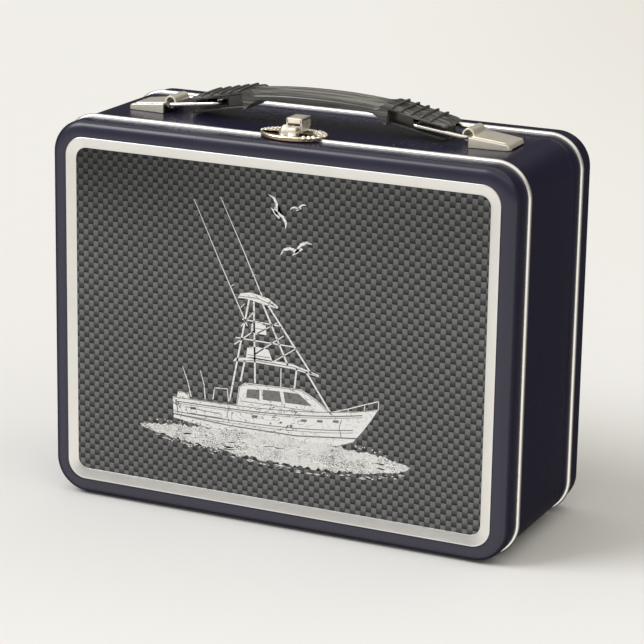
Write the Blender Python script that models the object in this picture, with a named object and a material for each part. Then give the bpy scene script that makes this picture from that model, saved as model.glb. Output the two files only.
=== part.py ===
import math

import bmesh
import bpy
from mathutils import Matrix, Vector

MM = 0.001

CASE_W = 203.2
CASE_H = 158.8
CASE_HALF_D = 41.3
CORNER_R = 14.0
SHEET = 0.8
EDGE_R = 1.8
GAP = 0.3

BEAD_R = 1.2
BEAD_PROUD = 1.0
FRONT_BEAD_Y = -28.4
REAR_BEAD_Y = 29.9
BOTTOM = BEAD_PROUD
TOP = CASE_H + BEAD_PROUD
MID_Z = CASE_H / 2 + BEAD_PROUD

FRAME_W = 190.0
FRAME_H = 146.0
FRAME_R = 8.0
PRINT_W = 181.0
PRINT_H = 137.0
PRINT_R = 4.0
RECESS = 2.3

HINGE_HALF = 60.0
HINGE_Z = BOTTOM + BEAD_R - BEAD_PROUD
PIN_R = 0.6
KNUCKLE_R = 1.2
KNUCKLE_BORE = 0.68
KNUCKLES = 9
LEAF_T = 0.55
LEAF_REACH = 9.0
LID_LEAF_REACH = 5.4

HANDLE_X = 1.2
HANDLE_Y = -1.5
PIVOT_X = 66.0
PIVOT_RISE = 3.6
BARREL_RISE = 4.4
BARREL_R = 2.6
BARREL_BORE = 1.9
BARREL_HALF = 6.0
HOOD_IN_X = 67.5
HOOD_OUT_X = 84.6
HOOD_IN_HALF = 9.5
HOOD_OUT_HALF = 8.2
HOOD_IN_H = 4.2
HOOD_OUT_H = 2.2

WIRE_R = 0.85
LINK_HALF = 8.0
LINK_TIP_X = 43.0
LINK_TIP_RISE = 6.4
LINK_BEND = 2.0

GRIP_X = 1.9
GRIP_HALF_L = 56.5
GRIP_HALF_W = 9.2
GRIP_SHOULDER = 31.0
GRIP_CROWN = 15.0
GRIP_SHOULDER_RISE = 13.2
GRIP_END_RISE = 7.9
GRIP_SKIN = 1.3
GRIP_WALL = 1.8
GRIP_ARCH = 10.0
GRIP_ARCH_HALF = 23.0
SKIRT_LOW = 5.4
TONGUE_HALF = 6.8
TONGUE_T = 1.3
TONGUE_END_RISE = 0.7
WEB_HALF = 4.0
RIB_FIRST = 33.8
RIB_PITCH = 4.2
RIB_COUNT = 5
RIB_H = 0.8
RIB_BASE = 1.5
RIB_CREST = 0.7

LATCH_X = 0.5
LATCH_Y = -26.5
LATCH_A = 13.9
LATCH_B = 9.8
LATCH_RISE = 2.1
LATCH_SPLIT = 0.25
LEVER_PIVOT_Y = -20.2
LEVER_PIVOT_RISE = 5.0
LEVER_HALF_W = 3.45
LEVER_WALL = 0.7
LEVER_FRONT_Y = -26.0
LEVER_TOP_RISE = 7.5
LEVER_LOW_RISE = 2.45
LEVER_REAR_R = 2.7
LEVER_PIN_R = 0.7
LEVER_BORE = 0.78
DOME_Y = -29.7
DOME_RX = 4.1
DOME_RY = 3.6
DOME_RISE = 6.1


def clear_scene():
    for ob in list(bpy.data.objects):
        bpy.data.objects.remove(ob, do_unlink=True)
    for block in (bpy.data.meshes, bpy.data.curves, bpy.data.materials):
        for item in list(block):
            block.remove(item)
    for coll in list(bpy.data.collections):
        bpy.data.collections.remove(coll)


clear_scene()
PARTS = bpy.data.collections.new("fishing_tackle_box")
TOOLS = bpy.data.collections.new("cutters")
bpy.context.scene.collection.children.link(PARTS)
bpy.context.scene.collection.children.link(TOOLS)


def material(name, color, metallic, rough):
    mat = bpy.data.materials.new(name)
    mat.use_nodes = True
    node = mat.node_tree.nodes["Principled BSDF"]
    node.inputs["Base Color"].default_value = (color[0], color[1], color[2], 1.0)
    node.inputs["Metallic"].default_value = metallic
    node.inputs["Roughness"].default_value = rough
    mat.diffuse_color = (color[0], color[1], color[2], 1.0)
    return mat


NAVY = (0.018, 0.018, 0.04)
SILVER = (0.78, 0.77, 0.74)
NICKEL = (0.62, 0.59, 0.54)
STEEL = (0.55, 0.55, 0.56)
GREY = (0.14, 0.14, 0.145)
PLASTIC = (0.05, 0.05, 0.055)


def finish(name, bm, color, metallic=0.0, rough=0.4, smooth=True, tool=False):
    bmesh.ops.remove_doubles(bm, verts=bm.verts, dist=0.00001)
    bmesh.ops.recalc_face_normals(bm, faces=bm.faces)
    mesh = bpy.data.meshes.new(name)
    bm.to_mesh(mesh)
    bm.free()
    ob = bpy.data.objects.new(name, mesh)
    if tool:
        TOOLS.objects.link(ob)
        ob.hide_render = True
        ob.display_type = "WIRE"
        return ob
    PARTS.objects.link(ob)
    ob.data.materials.append(material(name, color, metallic, rough))
    shade(ob, smooth)
    return ob


def shade(ob, smooth):
    for poly in ob.data.polygons:
        poly.use_smooth = smooth
    if smooth:
        for edge in ob.data.edges:
            edge.use_edge_sharp = False
        bm = bmesh.new()
        bm.from_mesh(ob.data)
        for edge in bm.edges:
            if len(edge.link_faces) == 2 and edge.calc_face_angle(0.0) > math.radians(32):
                edge.smooth = False
        bm.to_mesh(ob.data)
        bm.free()


def boolean(ob, other, operation):
    mod = ob.modifiers.new("bool", "BOOLEAN")
    mod.operation = operation
    mod.solver = "EXACT"
    mod.object = other
    bpy.context.view_layer.update()
    graph = bpy.context.evaluated_depsgraph_get()
    mesh = bpy.data.meshes.new_from_object(ob.evaluated_get(graph), depsgraph=graph)
    ob.modifiers.clear()
    old = ob.data
    ob.data = mesh
    bpy.data.meshes.remove(old)
    bpy.data.objects.remove(other, do_unlink=True)
    bm = bmesh.new()
    bm.from_mesh(ob.data)
    bmesh.ops.remove_doubles(bm, verts=bm.verts, dist=0.00002)
    bmesh.ops.dissolve_degenerate(bm, edges=bm.edges, dist=0.00001)
    bmesh.ops.recalc_face_normals(bm, faces=bm.faces)
    bm.to_mesh(ob.data)
    bm.free()


def set_origin(ob, point):
    shift = Vector(point) * MM
    ob.data.transform(Matrix.Translation(-shift))
    ob.location = shift


def rounded_rect(w, h, r, zc, steps=8):
    pts = []
    corners = [(1, 1, 0.0), (-1, 1, 90.0), (-1, -1, 180.0), (1, -1, 270.0)]
    for sx, sz, start in corners:
        cx = sx * (w / 2 - r)
        cz = zc + sz * (h / 2 - r)
        for i in range(steps + 1):
            a = math.radians(start + 90.0 * i / steps)
            pts.append((cx + r * math.cos(a), cz + r * math.sin(a)))
    return pts


def rect_loop(y, inset, r, w=CASE_W, h=CASE_H):
    ring = rounded_rect(w - 2 * inset, h - 2 * inset, r, MID_Z)
    return [Vector((x, y, z)) * MM for x, z in ring]


def loft(loops, cyclic):
    bm = bmesh.new()
    rows = [[bm.verts.new(p) for p in loop] for loop in loops]
    n = len(rows[0])
    last = len(rows) if cyclic else len(rows) - 1
    for i in range(last):
        a = rows[i]
        b = rows[(i + 1) % len(rows)]
        for j in range(n):
            k = (j + 1) % n
            bm.faces.new((a[j], a[k], b[k], b[j]))
    if not cyclic:
        bm.faces.new(rows[0][::-1])
        bm.faces.new(rows[-1])
    return bm


def prism(points, y0, y1):
    front = [Vector((x, y0, z)) * MM for x, z in points]
    back = [Vector((x, y1, z)) * MM for x, z in points]
    return loft([front, back], False)


def rod(radius, start, end, steps=16):
    a = Vector(start)
    b = Vector(end)
    axis = (b - a).normalized()
    side = axis.orthogonal().normalized()
    up = axis.cross(side)
    loops = []
    for c in (a, b):
        ring = []
        for i in range(steps):
            t = 2 * math.pi * i / steps
            ring.append((c + side * radius * math.cos(t) + up * radius * math.sin(t)) * MM)
        loops.append(ring)
    return loft(loops, False)


def bead_tube(path, outward, y, closed, steps=12):
    loops = []
    for (x, z), (nx, nz) in zip(path, outward):
        ring = []
        for i in range(steps):
            t = 2 * math.pi * i / steps
            c = BEAD_R * math.cos(t)
            ring.append(Vector((x + nx * c, y + BEAD_R * math.sin(t), z + nz * c)) * MM)
        loops.append(ring)
    return loft(loops, closed)


def bead_path(steps=10):
    inset = BEAD_R - BEAD_PROUD
    w = CASE_W - 2 * inset
    h = CASE_H - 2 * inset
    r = CORNER_R - inset
    path = rounded_rect(w, h, r, MID_Z, steps)
    outward = []
    for start in (0.0, 90.0, 180.0, 270.0):
        for i in range(steps + 1):
            a = math.radians(start + 90.0 * i / steps)
            outward.append((math.cos(a), math.sin(a)))
    return path, outward


# painted body band, open at both faces
band_front = FRONT_BEAD_Y + BEAD_R + GAP
band_rear = REAR_BEAD_Y - BEAD_R - GAP
band = loft([
    rect_loop(band_front, 0.0, CORNER_R),
    rect_loop(band_rear, 0.0, CORNER_R),
    rect_loop(band_rear, SHEET, CORNER_R - SHEET),
    rect_loop(band_front, SHEET, CORNER_R - SHEET),
], True)
finish("body_band", band, NAVY, 0.0, 0.35)

# back pan with a shallow stamped panel
pan_front = REAR_BEAD_Y + BEAD_R + GAP
back = CASE_HALF_D
back_pan = loft([
    rect_loop(back - RECESS / 2, 8.2, 8.0),
    rect_loop(back, 7.0, 8.5),
    rect_loop(back, EDGE_R, CORNER_R - EDGE_R),
    rect_loop(back - 0.24, EDGE_R * 0.5, CORNER_R - EDGE_R * 0.5),
    rect_loop(back - 0.9, EDGE_R * 0.13, CORNER_R - EDGE_R * 0.13),
    rect_loop(back - EDGE_R, 0.0, CORNER_R),
    rect_loop(pan_front, 0.0, CORNER_R),
    rect_loop(pan_front, SHEET, CORNER_R - SHEET),
    rect_loop(back - EDGE_R, SHEET, CORNER_R - SHEET),
    rect_loop(back - SHEET, EDGE_R, CORNER_R - EDGE_R),
    rect_loop(back - SHEET, 7.5, 8.3),
    rect_loop(back - SHEET - RECESS / 2, 8.7, 7.8),
], False)
finish("back_pan", back_pan, NAVY, 0.0, 0.35)

# bright rims, half round, standing proud of the sheet
path, outward = bead_path()
rear_rim = bead_tube(path, outward, REAR_BEAD_Y, True)
finish("rear_rim_bead", rear_rim, SILVER, 1.0, 0.25)

end_x = HINGE_HALF + 1.5
order = list(range(33, 44)) + list(range(0, 33))
front_path = [path[i] for i in order]
front_out = [outward[i] for i in order]
low_z = HINGE_Z
front_path = [(end_x, low_z)] + front_path + [(-end_x, low_z)]
front_out = [(0.0, -1.0)] + front_out + [(0.0, -1.0)]
front_rim = bead_tube(front_path, front_out, FRONT_BEAD_Y, False)
finish("front_rim_bead", front_rim, SILVER, 1.0, 0.25)

# front lid: shallow pan with a stepped seat for the framed panel
front = -CASE_HALF_D
lid_rear = FRONT_BEAD_Y - BEAD_R - GAP
seat = (CASE_W - FRAME_W) / 2 - GAP
seat_r = FRAME_R + GAP
lid = loft([
    rect_loop(front + RECESS, seat, seat_r),
    rect_loop(front, seat, seat_r),
    rect_loop(front + 0.13, 4.0, CORNER_R - 4.0),
    rect_loop(front + 0.62, 2.1, CORNER_R - 2.1),
    rect_loop(front + 1.45, 0.8, CORNER_R - 0.8),
    rect_loop(front + 2.5, 0.2, CORNER_R - 0.2),
    rect_loop(front + 3.8, 0.0, CORNER_R),
    rect_loop(lid_rear, 0.0, CORNER_R),
    rect_loop(lid_rear, SHEET, CORNER_R - SHEET),
    rect_loop(front + 3.8, SHEET, CORNER_R - SHEET),
    rect_loop(front + 2.0, 1.7, CORNER_R - 1.7),
    rect_loop(front + 1.1, 3.4, CORNER_R - 3.4),
    rect_loop(front + SHEET, seat - SHEET, seat_r + SHEET),
    rect_loop(front + RECESS + SHEET, seat, seat_r),
], False)
lid_ob = finish("front_lid", lid, NAVY, 0.0, 0.35)
HINGE_POINT = (0.0, FRONT_BEAD_Y, HINGE_Z)
set_origin(lid_ob, HINGE_POINT)

# bevelled silver frame around the panel
frame_in = (FRAME_W - PRINT_W) / 2
floor_y = front + RECESS - GAP


def frame_loop(y, inset, r):
    return rect_loop(y, inset, r, FRAME_W, FRAME_H)


frame = loft([
    frame_loop(floor_y, 0.0, FRAME_R),
    frame_loop(front + 0.1, 0.0, FRAME_R),
    frame_loop(front - 0.1, 0.35, FRAME_R - 0.35),
    frame_loop(front + 0.05, 0.9, FRAME_R - 0.9),
    frame_loop(front + 0.85, frame_in - 0.25, PRINT_R + 0.25),
    frame_loop(front + 1.05, frame_in, PRINT_R),
    frame_loop(floor_y, frame_in, PRINT_R),
], True)
frame_ob = finish("panel_frame", frame, SILVER, 1.0, 0.3)
set_origin(frame_ob, HINGE_POINT)

plate_in = frame_in + GAP
plate = loft([
    frame_loop(front + 1.1, plate_in, PRINT_R - GAP),
    frame_loop(floor_y, plate_in, PRINT_R - GAP),
], False)
plate_ob = finish("picture_plate", plate, GREY, 0.6, 0.35, False)
set_origin(plate_ob, HINGE_POINT)


# bottom hinge: knuckles in line with the front rim
def knuckle_spans(odd):
    pitch = 2 * HINGE_HALF / KNUCKLES
    spans = []
    for i in range(KNUCKLES):
        if i % 2 == odd:
            x0 = -HINGE_HALF + i * pitch + 0.15
            spans.append((x0, x0 + pitch - 0.3))
    return spans


def hinge_leaf(name, odd, side):
    y0 = FRONT_BEAD_Y
    reach = LEAF_REACH if side > 0 else LID_LEAF_REACH
    y_far = y0 + side * (BEAD_R + reach)
    y_near = y0 + side * (BEAD_R + GAP)
    z0 = HINGE_Z - KNUCKLE_R + 0.05
    strip = [(-HINGE_HALF, z0), (HINGE_HALF, z0), (HINGE_HALF, z0 + LEAF_T), (-HINGE_HALF, z0 + LEAF_T)]
    leaf = finish(name, prism(strip, min(y_near, y_far), max(y_near, y_far)), STEEL, 1.0, 0.35, False)
    for x0, x1 in knuckle_spans(odd):
        tab = [(x0, z0), (x1, z0), (x1, z0 + LEAF_T), (x0, z0 + LEAF_T)]
        tab_ob = finish("tab", prism(tab, min(y0, y_near + side), max(y0, y_near + side)), STEEL, tool=True)
        boolean(leaf, tab_ob, "UNION")
        eye = rod(KNUCKLE_R, (x0, y0, HINGE_Z), (x1, y0, HINGE_Z), 16)
        boolean(leaf, finish("eye", eye, STEEL, tool=True), "UNION")
    bore = rod(KNUCKLE_BORE, (-70, y0, HINGE_Z), (70, y0, HINGE_Z), 16)
    boolean(leaf, finish("bore", bore, STEEL, tool=True), "DIFFERENCE")
    shade(leaf, True)
    return leaf


hinge_leaf("body_hinge_leaf", 0, 1)
lid_leaf = hinge_leaf("lid_hinge_leaf", 1, -1)
set_origin(lid_leaf, HINGE_POINT)
pin = rod(PIN_R, (-HINGE_HALF, FRONT_BEAD_Y, HINGE_Z), (HINGE_HALF, FRONT_BEAD_Y, HINGE_Z), 16)
finish("hinge_pin", pin, STEEL, 1.0, 0.3)


# handle brackets: pressed hood with a rolled barrel at its inner end
def hood_solid(side, shrink, reach_in, drop):
    sections = []
    stations = [
        (HOOD_IN_X - reach_in, HOOD_IN_HALF, HOOD_IN_H),
        (HOOD_OUT_X - 2.2, HOOD_OUT_HALF + 0.2, HOOD_OUT_H + 0.3),
        (HOOD_OUT_X - 0.6, HOOD_OUT_HALF - 1.0, HOOD_OUT_H * 0.62),
        (HOOD_OUT_X, HOOD_OUT_HALF - 1.8, 0.45),
    ]
    for x, half, rise in stations:
        half = half - shrink
        high = rise - shrink
        low = GAP - drop
        if shrink:
            x = min(x, HOOD_OUT_X - 1.4)
            high = max(high, low + 0.4 + drop)
        ys = [-half, -half + 0.15, -half + 0.9, half - 0.9, half - 0.15, half]
        zs = [low, max(high - 0.7, low + 0.1), high, high, max(high - 0.7, low + 0.1), low]
        sections.append([Vector((HANDLE_X + side * x, HANDLE_Y + y, TOP + z)) * MM for y, z in zip(ys, zs)])
    if shrink:
        sections = sections[:3]
        end_x = (HANDLE_X + side * (HOOD_OUT_X - 1.3)) * MM
        sections[2] = [Vector((end_x, p.y, p.z)) for p in sections[2]]
    return loft(sections, False)


def bracket(name, side):
    hood = finish(name, hood_solid(side, 0.0, 0.0, 0.0), NICKEL, 1.0, 0.3)
    inner = finish("hollow", hood_solid(side, SHEET, 1.0, 1.0), NICKEL, tool=True)
    boolean(hood, inner, "DIFFERENCE")
    axis_z = TOP + BARREL_RISE
    axis_x = HANDLE_X + side * PIVOT_X
    ends = (HANDLE_Y - BARREL_HALF, HANDLE_Y + BARREL_HALF)
    barrel = rod(BARREL_R, (axis_x, ends[0], axis_z), (axis_x, ends[1], axis_z), 24)
    boolean(hood, finish("barrel", barrel, NICKEL, tool=True), "UNION")
    bore = rod(BARREL_BORE, (axis_x, -20, axis_z), (axis_x, 20, axis_z), 24)
    boolean(hood, finish("bore", bore, NICKEL, tool=True), "DIFFERENCE")
    shade(hood, True)


bracket("left_handle_bracket", -1)
bracket("right_handle_bracket", 1)


# wire links between brackets and grip
def link(name, side):
    a = Vector((PIVOT_X, 0, PIVOT_RISE))
    b = Vector((LINK_TIP_X, 0, LINK_TIP_RISE))
    along = (b - a).normalized()
    length = (b - a).length
    flat = rounded_rect(length + 0.0, 2 * LINK_HALF, LINK_BEND, 0.0, 5)
    up = Vector((0, 1, 0)).cross(along).normalized()
    mid = (a + b) / 2
    n = len(flat)
    loops = []
    for i in range(n):
        u, v = flat[i]
        du = flat[(i + 1) % n][0] - flat[i - 1][0]
        dv = flat[(i + 1) % n][1] - flat[i - 1][1]
        size = math.hypot(du, dv)
        nu, nv = dv / size, -du / size
        c = mid + along * u + Vector((0, HANDLE_Y + v, TOP))
        out = along * nu + Vector((0, nv, 0))
        ring = []
        for k in range(10):
            t = 2 * math.pi * k / 10
            p = c + out * WIRE_R * math.cos(t) + up * WIRE_R * math.sin(t)
            ring.append(Vector((HANDLE_X + side * p.x, p.y, p.z)) * MM)
        loops.append(ring)
    ob = finish(name, loft(loops, True), SILVER, 1.0, 0.22)
    set_origin(ob, (HANDLE_X + side * PIVOT_X, HANDLE_Y, TOP + PIVOT_RISE))


link("left_handle_link", -1)
link("right_handle_link", 1)


# grip: arched moulding with ribbed ends and slotted tongues
def smooth_step(t):
    t = min(max(t, 0.0), 1.0)
    return t * t * (3 - 2 * t)


def grip_top(x):
    a = abs(x)
    drop = GRIP_CROWN - GRIP_SHOULDER_RISE
    if a <= GRIP_SHOULDER:
        return GRIP_CROWN - drop * (a / GRIP_SHOULDER) ** 2.2
    t = (a - GRIP_SHOULDER) / (GRIP_HALF_L - GRIP_SHOULDER)
    return GRIP_SHOULDER_RISE + (GRIP_END_RISE - GRIP_SHOULDER_RISE) * t


def skirt_low(x):
    a = abs(x)
    under = grip_top(x) - GRIP_SKIN
    if a >= GRIP_SHOULDER + 1.2:
        return under - 0.15
    t = smooth_step((a - GRIP_ARCH_HALF) / (GRIP_SHOULDER - 1.0 - GRIP_ARCH_HALF))
    return GRIP_ARCH + (SKIRT_LOW - GRIP_ARCH) * t


def rib_height(x):
    a = abs(x)
    for i in range(RIB_COUNT):
        d = abs(a - RIB_FIRST - i * RIB_PITCH)
        if d <= RIB_CREST / 2:
            return RIB_H
        if d <= RIB_BASE / 2 + 0.001:
            return RIB_H * (RIB_BASE / 2 - d) / (RIB_BASE / 2 - RIB_CREST / 2)
    return 0.0


def grip_stations():
    xs = [0.0, 6.0, 12.0, 18.0, GRIP_ARCH_HALF, 24.5, 26.0, 27.5, 29.0, 30.0, 31.2, 32.2, 32.21]
    for i in range(RIB_COUNT):
        c = RIB_FIRST + i * RIB_PITCH
        xs += [c - RIB_BASE / 2, c - RIB_CREST / 2, c + RIB_CREST / 2, c + RIB_BASE / 2]
    xs += [GRIP_HALF_L - 2.3, GRIP_HALF_L - 0.8, GRIP_HALF_L]
    return [-x for x in reversed(xs[1:])] + xs


def grip_section(x):
    top = grip_top(x)
    low = skirt_low(x)
    end = max(0.0, (abs(x) - GRIP_HALF_L + 2.0) / 2.0)
    half = GRIP_HALF_W - 0.9 * end * end
    rib = rib_height(x)
    flute = 0.35 * (1 - smooth_step((abs(x) - 25.0) / 4.0))
    outer = []
    for i in range(13):
        v = -1 + 2 * i / 12
        crown = (0.7 + 0.4 * flute / 0.35) * abs(v) ** 3
        groove = flute if i in (3, 5, 7, 9) else 0.0
        outer.append((half * v, top - crown - groove + rib - 0.3 * end * end))
    inner = []
    wall = half - GRIP_WALL
    under = top - GRIP_SKIN - 0.15 * end
    for i in range(5):
        v = 1 - 2 * i / 4
        inner.append((wall * v, under - 0.35 * abs(v) ** 3))
    low = min(low, outer[0][1] - 0.35)
    pts = outer + [(half, low), (wall, min(low, under - 0.4))] + inner
    pts += [(-wall, min(low, under - 0.4)), (-half, low)]
    return [Vector((GRIP_X + x, HANDLE_Y + y, TOP + z)) * MM for y, z in pts]


def tongue_low(a):
    t = (a - GRIP_SHOULDER) / (GRIP_HALF_L - GRIP_SHOULDER)
    return SKIRT_LOW + (TONGUE_END_RISE - SKIRT_LOW) * t


def side_prism(points, side, half, centre=GRIP_X):
    pts = [(centre + side * x, TOP + z) for x, z in points]
    return prism(pts, HANDLE_Y - half, HANDLE_Y + half)


grip = finish("handle_grip", loft([grip_section(x) for x in grip_stations()], False), PLASTIC, 0.0, 0.3)
for side in (-1, 1):
    x0 = GRIP_SHOULDER - 1.5
    x1 = GRIP_HALF_L - 0.6
    web = [
        (x0, tongue_low(x0) + 0.4),
        (x1, tongue_low(x1) + 0.4),
        (x1, grip_top(x1) - GRIP_SKIN + 0.3),
        (x0, grip_top(x0) - GRIP_SKIN + 0.3),
    ]
    boolean(grip, finish("web", side_prism(web, side, WEB_HALF), PLASTIC, tool=True), "UNION")
    tongue = [
        (x0 + 0.4, tongue_low(x0 + 0.4)),
        (x1 - 0.8, tongue_low(x1 - 0.8)),
        (x1 + 0.2, tongue_low(x1) + 0.35),
        (x1 + 0.2, tongue_low(x1) + TONGUE_T - 0.3),
        (x1 - 0.6, tongue_low(x1 - 0.6) + TONGUE_T),
        (x0 + 0.4, tongue_low(x0 + 0.4) + TONGUE_T),
    ]
    boolean(grip, finish("tongue", side_prism(tongue, side, TONGUE_HALF), PLASTIC, tool=True), "UNION")
    block = [
        (x0 + 0.1, tongue_low(x0) + 0.2),
        (x0 + 2.3, tongue_low(x0 + 2.3) + 0.1),
        (x0 + 2.3, grip_top(x0 + 2.3) - GRIP_SKIN + 0.2),
        (x0 + 0.1, grip_top(x0) - GRIP_SKIN + 0.2),
    ]
    boolean(grip, finish("block", side_prism(block, side, GRIP_HALF_W - 0.7), PLASTIC, tool=True), "UNION")
    slot = [
        (LINK_TIP_X - 1.4, 5.35),
        (49.8, 4.45),
        (49.8, 6.85),
        (46.8, 7.5),
        (LINK_TIP_X - 1.4, 7.65),
    ]
    cutter = side_prism(slot, side, WEB_HALF + 1.0, HANDLE_X)
    boolean(grip, finish("slot", cutter, PLASTIC, tool=True), "DIFFERENCE")
shade(grip, True)
set_origin(grip, (GRIP_X, HANDLE_Y, TOP + GRIP_CROWN - 4.0))


# latch plates: one oval split over the rim, scalloped at its ends
def oval_half(front_half):
    pts = []
    steps = 40
    for i in range(steps * 2):
        t = 2 * math.pi * i / (steps * 2)
        x = math.cos(t)
        y = math.sin(t)
        scallop = 0.0
        if abs(x) > 0.62:
            scallop = 0.035 * math.cos(26 * t)
        pts.append((LATCH_X + LATCH_A * x * (1 + scallop), LATCH_Y + LATCH_B * y * (1 + scallop)))
    if front_half:
        limit = FRONT_BEAD_Y - LATCH_SPLIT
        kept = [p for p in pts if p[1] < limit - 0.2]
    else:
        limit = FRONT_BEAD_Y + LATCH_SPLIT
        kept = [p for p in pts if p[1] > limit + 0.2]
        low_right = [p for p in kept if p[0] > 0 and p[1] < LATCH_Y]
        kept = low_right + [p for p in kept if p not in low_right]
    first = kept[0]
    last = kept[-1]
    return [(first[0], limit)] + kept + [(last[0], limit)]


def plate_solid(front_half):
    outline = oval_half(front_half)
    loops = []
    cy = FRONT_BEAD_Y
    for shrink, rise in ((0.0, GAP), (0.0, LATCH_RISE - 0.55), (0.5, LATCH_RISE)):
        ring = []
        for x, y in outline:
            f = 1 - shrink / LATCH_A
            g = 1 - shrink / LATCH_B
            yy = y if abs(y - cy) < LATCH_SPLIT + 0.01 else LATCH_Y + (y - LATCH_Y) * g
            if front_half:
                yy = min(yy, FRONT_BEAD_Y - LATCH_SPLIT)
            else:
                yy = max(yy, FRONT_BEAD_Y + LATCH_SPLIT)
            ring.append(Vector((LATCH_X + (x - LATCH_X) * f, yy, TOP + rise)) * MM)
        loops.append(ring)
    return loft(loops, False)


def bead_notch():
    y0 = FRONT_BEAD_Y - BEAD_R - GAP
    y1 = FRONT_BEAD_Y + BEAD_R + GAP
    z1 = TOP + BEAD_PROUD + GAP
    return prism([(-20, TOP - 2), (20, TOP - 2), (20, z1), (-20, z1)], y0, y1)


base = finish("latch_base_plate", plate_solid(False), NICKEL, 1.0, 0.3)
boolean(base, finish("notch", bead_notch(), NICKEL, tool=True), "DIFFERENCE")
pivot_z = TOP + LEVER_PIVOT_RISE
for side in (-1, 1):
    outer_x = LEVER_HALF_W - LEVER_WALL - 0.3
    xs = (LATCH_X + side * (outer_x - 0.9), LATCH_X + side * outer_x)
    eye = rod(1.6, (xs[0], LEVER_PIVOT_Y, pivot_z), (xs[1], LEVER_PIVOT_Y, pivot_z), 20)
    ear = finish("ear", eye, NICKEL, tool=True)
    lo = min(xs)
    hi = max(xs)
    post = prism([(lo, TOP + 1.6), (hi, TOP + 1.6), (hi, pivot_z), (lo, pivot_z)],
                 LEVER_PIVOT_Y - 1.4, LEVER_PIVOT_Y + 1.4)
    boolean(ear, finish("post", post, NICKEL, tool=True), "UNION")
    boolean(base, ear, "UNION")
ear_bore = rod(LEVER_BORE, (-6, LEVER_PIVOT_Y, pivot_z), (6, LEVER_PIVOT_Y, pivot_z), 16)
boolean(base, finish("bore", ear_bore, NICKEL, tool=True), "DIFFERENCE")
shade(base, True)

pin_half = LEVER_HALF_W + 0.35
pin_ends = [(LATCH_X + side * pin_half, LEVER_PIVOT_Y, pivot_z) for side in (-1, 1)]
pivot_pin = rod(LEVER_PIN_R, pin_ends[0], pin_ends[1], 16)
finish("latch_pivot_pin", pivot_pin, STEEL, 1.0, 0.3)

keeper = finish("latch_keeper_plate", plate_solid(True), NICKEL, 1.0, 0.3)
boolean(keeper, finish("notch", bead_notch(), NICKEL, tool=True), "DIFFERENCE")
dome = bmesh.new()
bmesh.ops.create_uvsphere(dome, u_segments=24, v_segments=14, radius=1.0)
dome_low = LATCH_RISE - 0.3
dome_mid = LATCH_RISE + 1.1
for v in dome.verts:
    z = v.co.z
    rise = dome_mid + z * (DOME_RISE - dome_mid) if z > 0 else dome_mid + z * (dome_mid - dome_low)
    v.co = Vector((LATCH_X + v.co.x * DOME_RX, DOME_Y + v.co.y * DOME_RY, TOP + rise)) * MM
boolean(keeper, finish("dome", dome, NICKEL, tool=True), "UNION")
notch_pts = [(-6, TOP - 1), (6, TOP - 1), (6, TOP + LATCH_RISE + GAP), (-6, TOP + LATCH_RISE + GAP)]
clear = prism(notch_pts, FRONT_BEAD_Y - LATCH_SPLIT, FRONT_BEAD_Y + 6)
boolean(keeper, finish("clear", clear, NICKEL, tool=True), "DIFFERENCE")
shade(keeper, True)
set_origin(keeper, HINGE_POINT)


# latch lever: box-shaped cap, open at the front, rear and below
def lever_outline(shrink):
    py = LEVER_PIVOT_Y
    pz = LEVER_PIVOT_RISE
    r = LEVER_REAR_R - shrink
    top = LEVER_TOP_RISE - shrink
    pts = [(LEVER_FRONT_Y, LEVER_LOW_RISE), (py - 0.6, LEVER_LOW_RISE)]
    for deg in (-85, -65, -45, -25, 0):
        a = math.radians(deg)
        pts.append((py + r * math.cos(a), pz + r * math.sin(a)))
    pts += [(py + r, top - 0.8), (py + r - 0.25, top - 0.25), (py + r - 0.8, top)]
    pts += [(LEVER_FRONT_Y + 0.8, top), (LEVER_FRONT_Y + 0.25, top - 0.25), (LEVER_FRONT_Y, top - 0.8)]
    return pts


def x_prism(points, x0, x1):
    a = [Vector((LATCH_X + x0, y, TOP + z)) * MM for y, z in points]
    b = [Vector((LATCH_X + x1, y, TOP + z)) * MM for y, z in points]
    return loft([a, b], False)


lever = finish("latch_lever", x_prism(lever_outline(0.0), -LEVER_HALF_W, LEVER_HALF_W), NICKEL, 1.0, 0.3)
inner_top = LEVER_TOP_RISE - LEVER_WALL
hollow = [
    (LEVER_FRONT_Y + LEVER_WALL, 0.0),
    (LEVER_PIVOT_Y + LEVER_REAR_R + 1.0, 0.0),
    (LEVER_PIVOT_Y + LEVER_REAR_R + 1.0, inner_top),
    (LEVER_FRONT_Y + LEVER_WALL, inner_top),
]
half_in = LEVER_HALF_W - LEVER_WALL
boolean(lever, finish("hollow", x_prism(hollow, -half_in, half_in), NICKEL, tool=True), "DIFFERENCE")
mouth = [
    (LEVER_FRONT_Y - 1.0, 0.0),
    (LEVER_FRONT_Y + LEVER_WALL + 0.3, 0.0),
    (LEVER_FRONT_Y + LEVER_WALL + 0.3, LEVER_TOP_RISE - 1.9),
    (LEVER_FRONT_Y - 1.0, LEVER_TOP_RISE - 1.9),
]
boolean(lever, finish("mouth", x_prism(mouth, -half_in, half_in), NICKEL, tool=True), "DIFFERENCE")
lever_bore = rod(LEVER_BORE, (-6, LEVER_PIVOT_Y, pivot_z), (6, LEVER_PIVOT_Y, pivot_z), 16)
boolean(lever, finish("bore", lever_bore, NICKEL, tool=True), "DIFFERENCE")
shade(lever, True)
set_origin(lever, (LATCH_X, LEVER_PIVOT_Y, pivot_z))
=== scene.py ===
import math
import random

import bmesh
import bpy
from mathutils import Matrix, Vector


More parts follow.
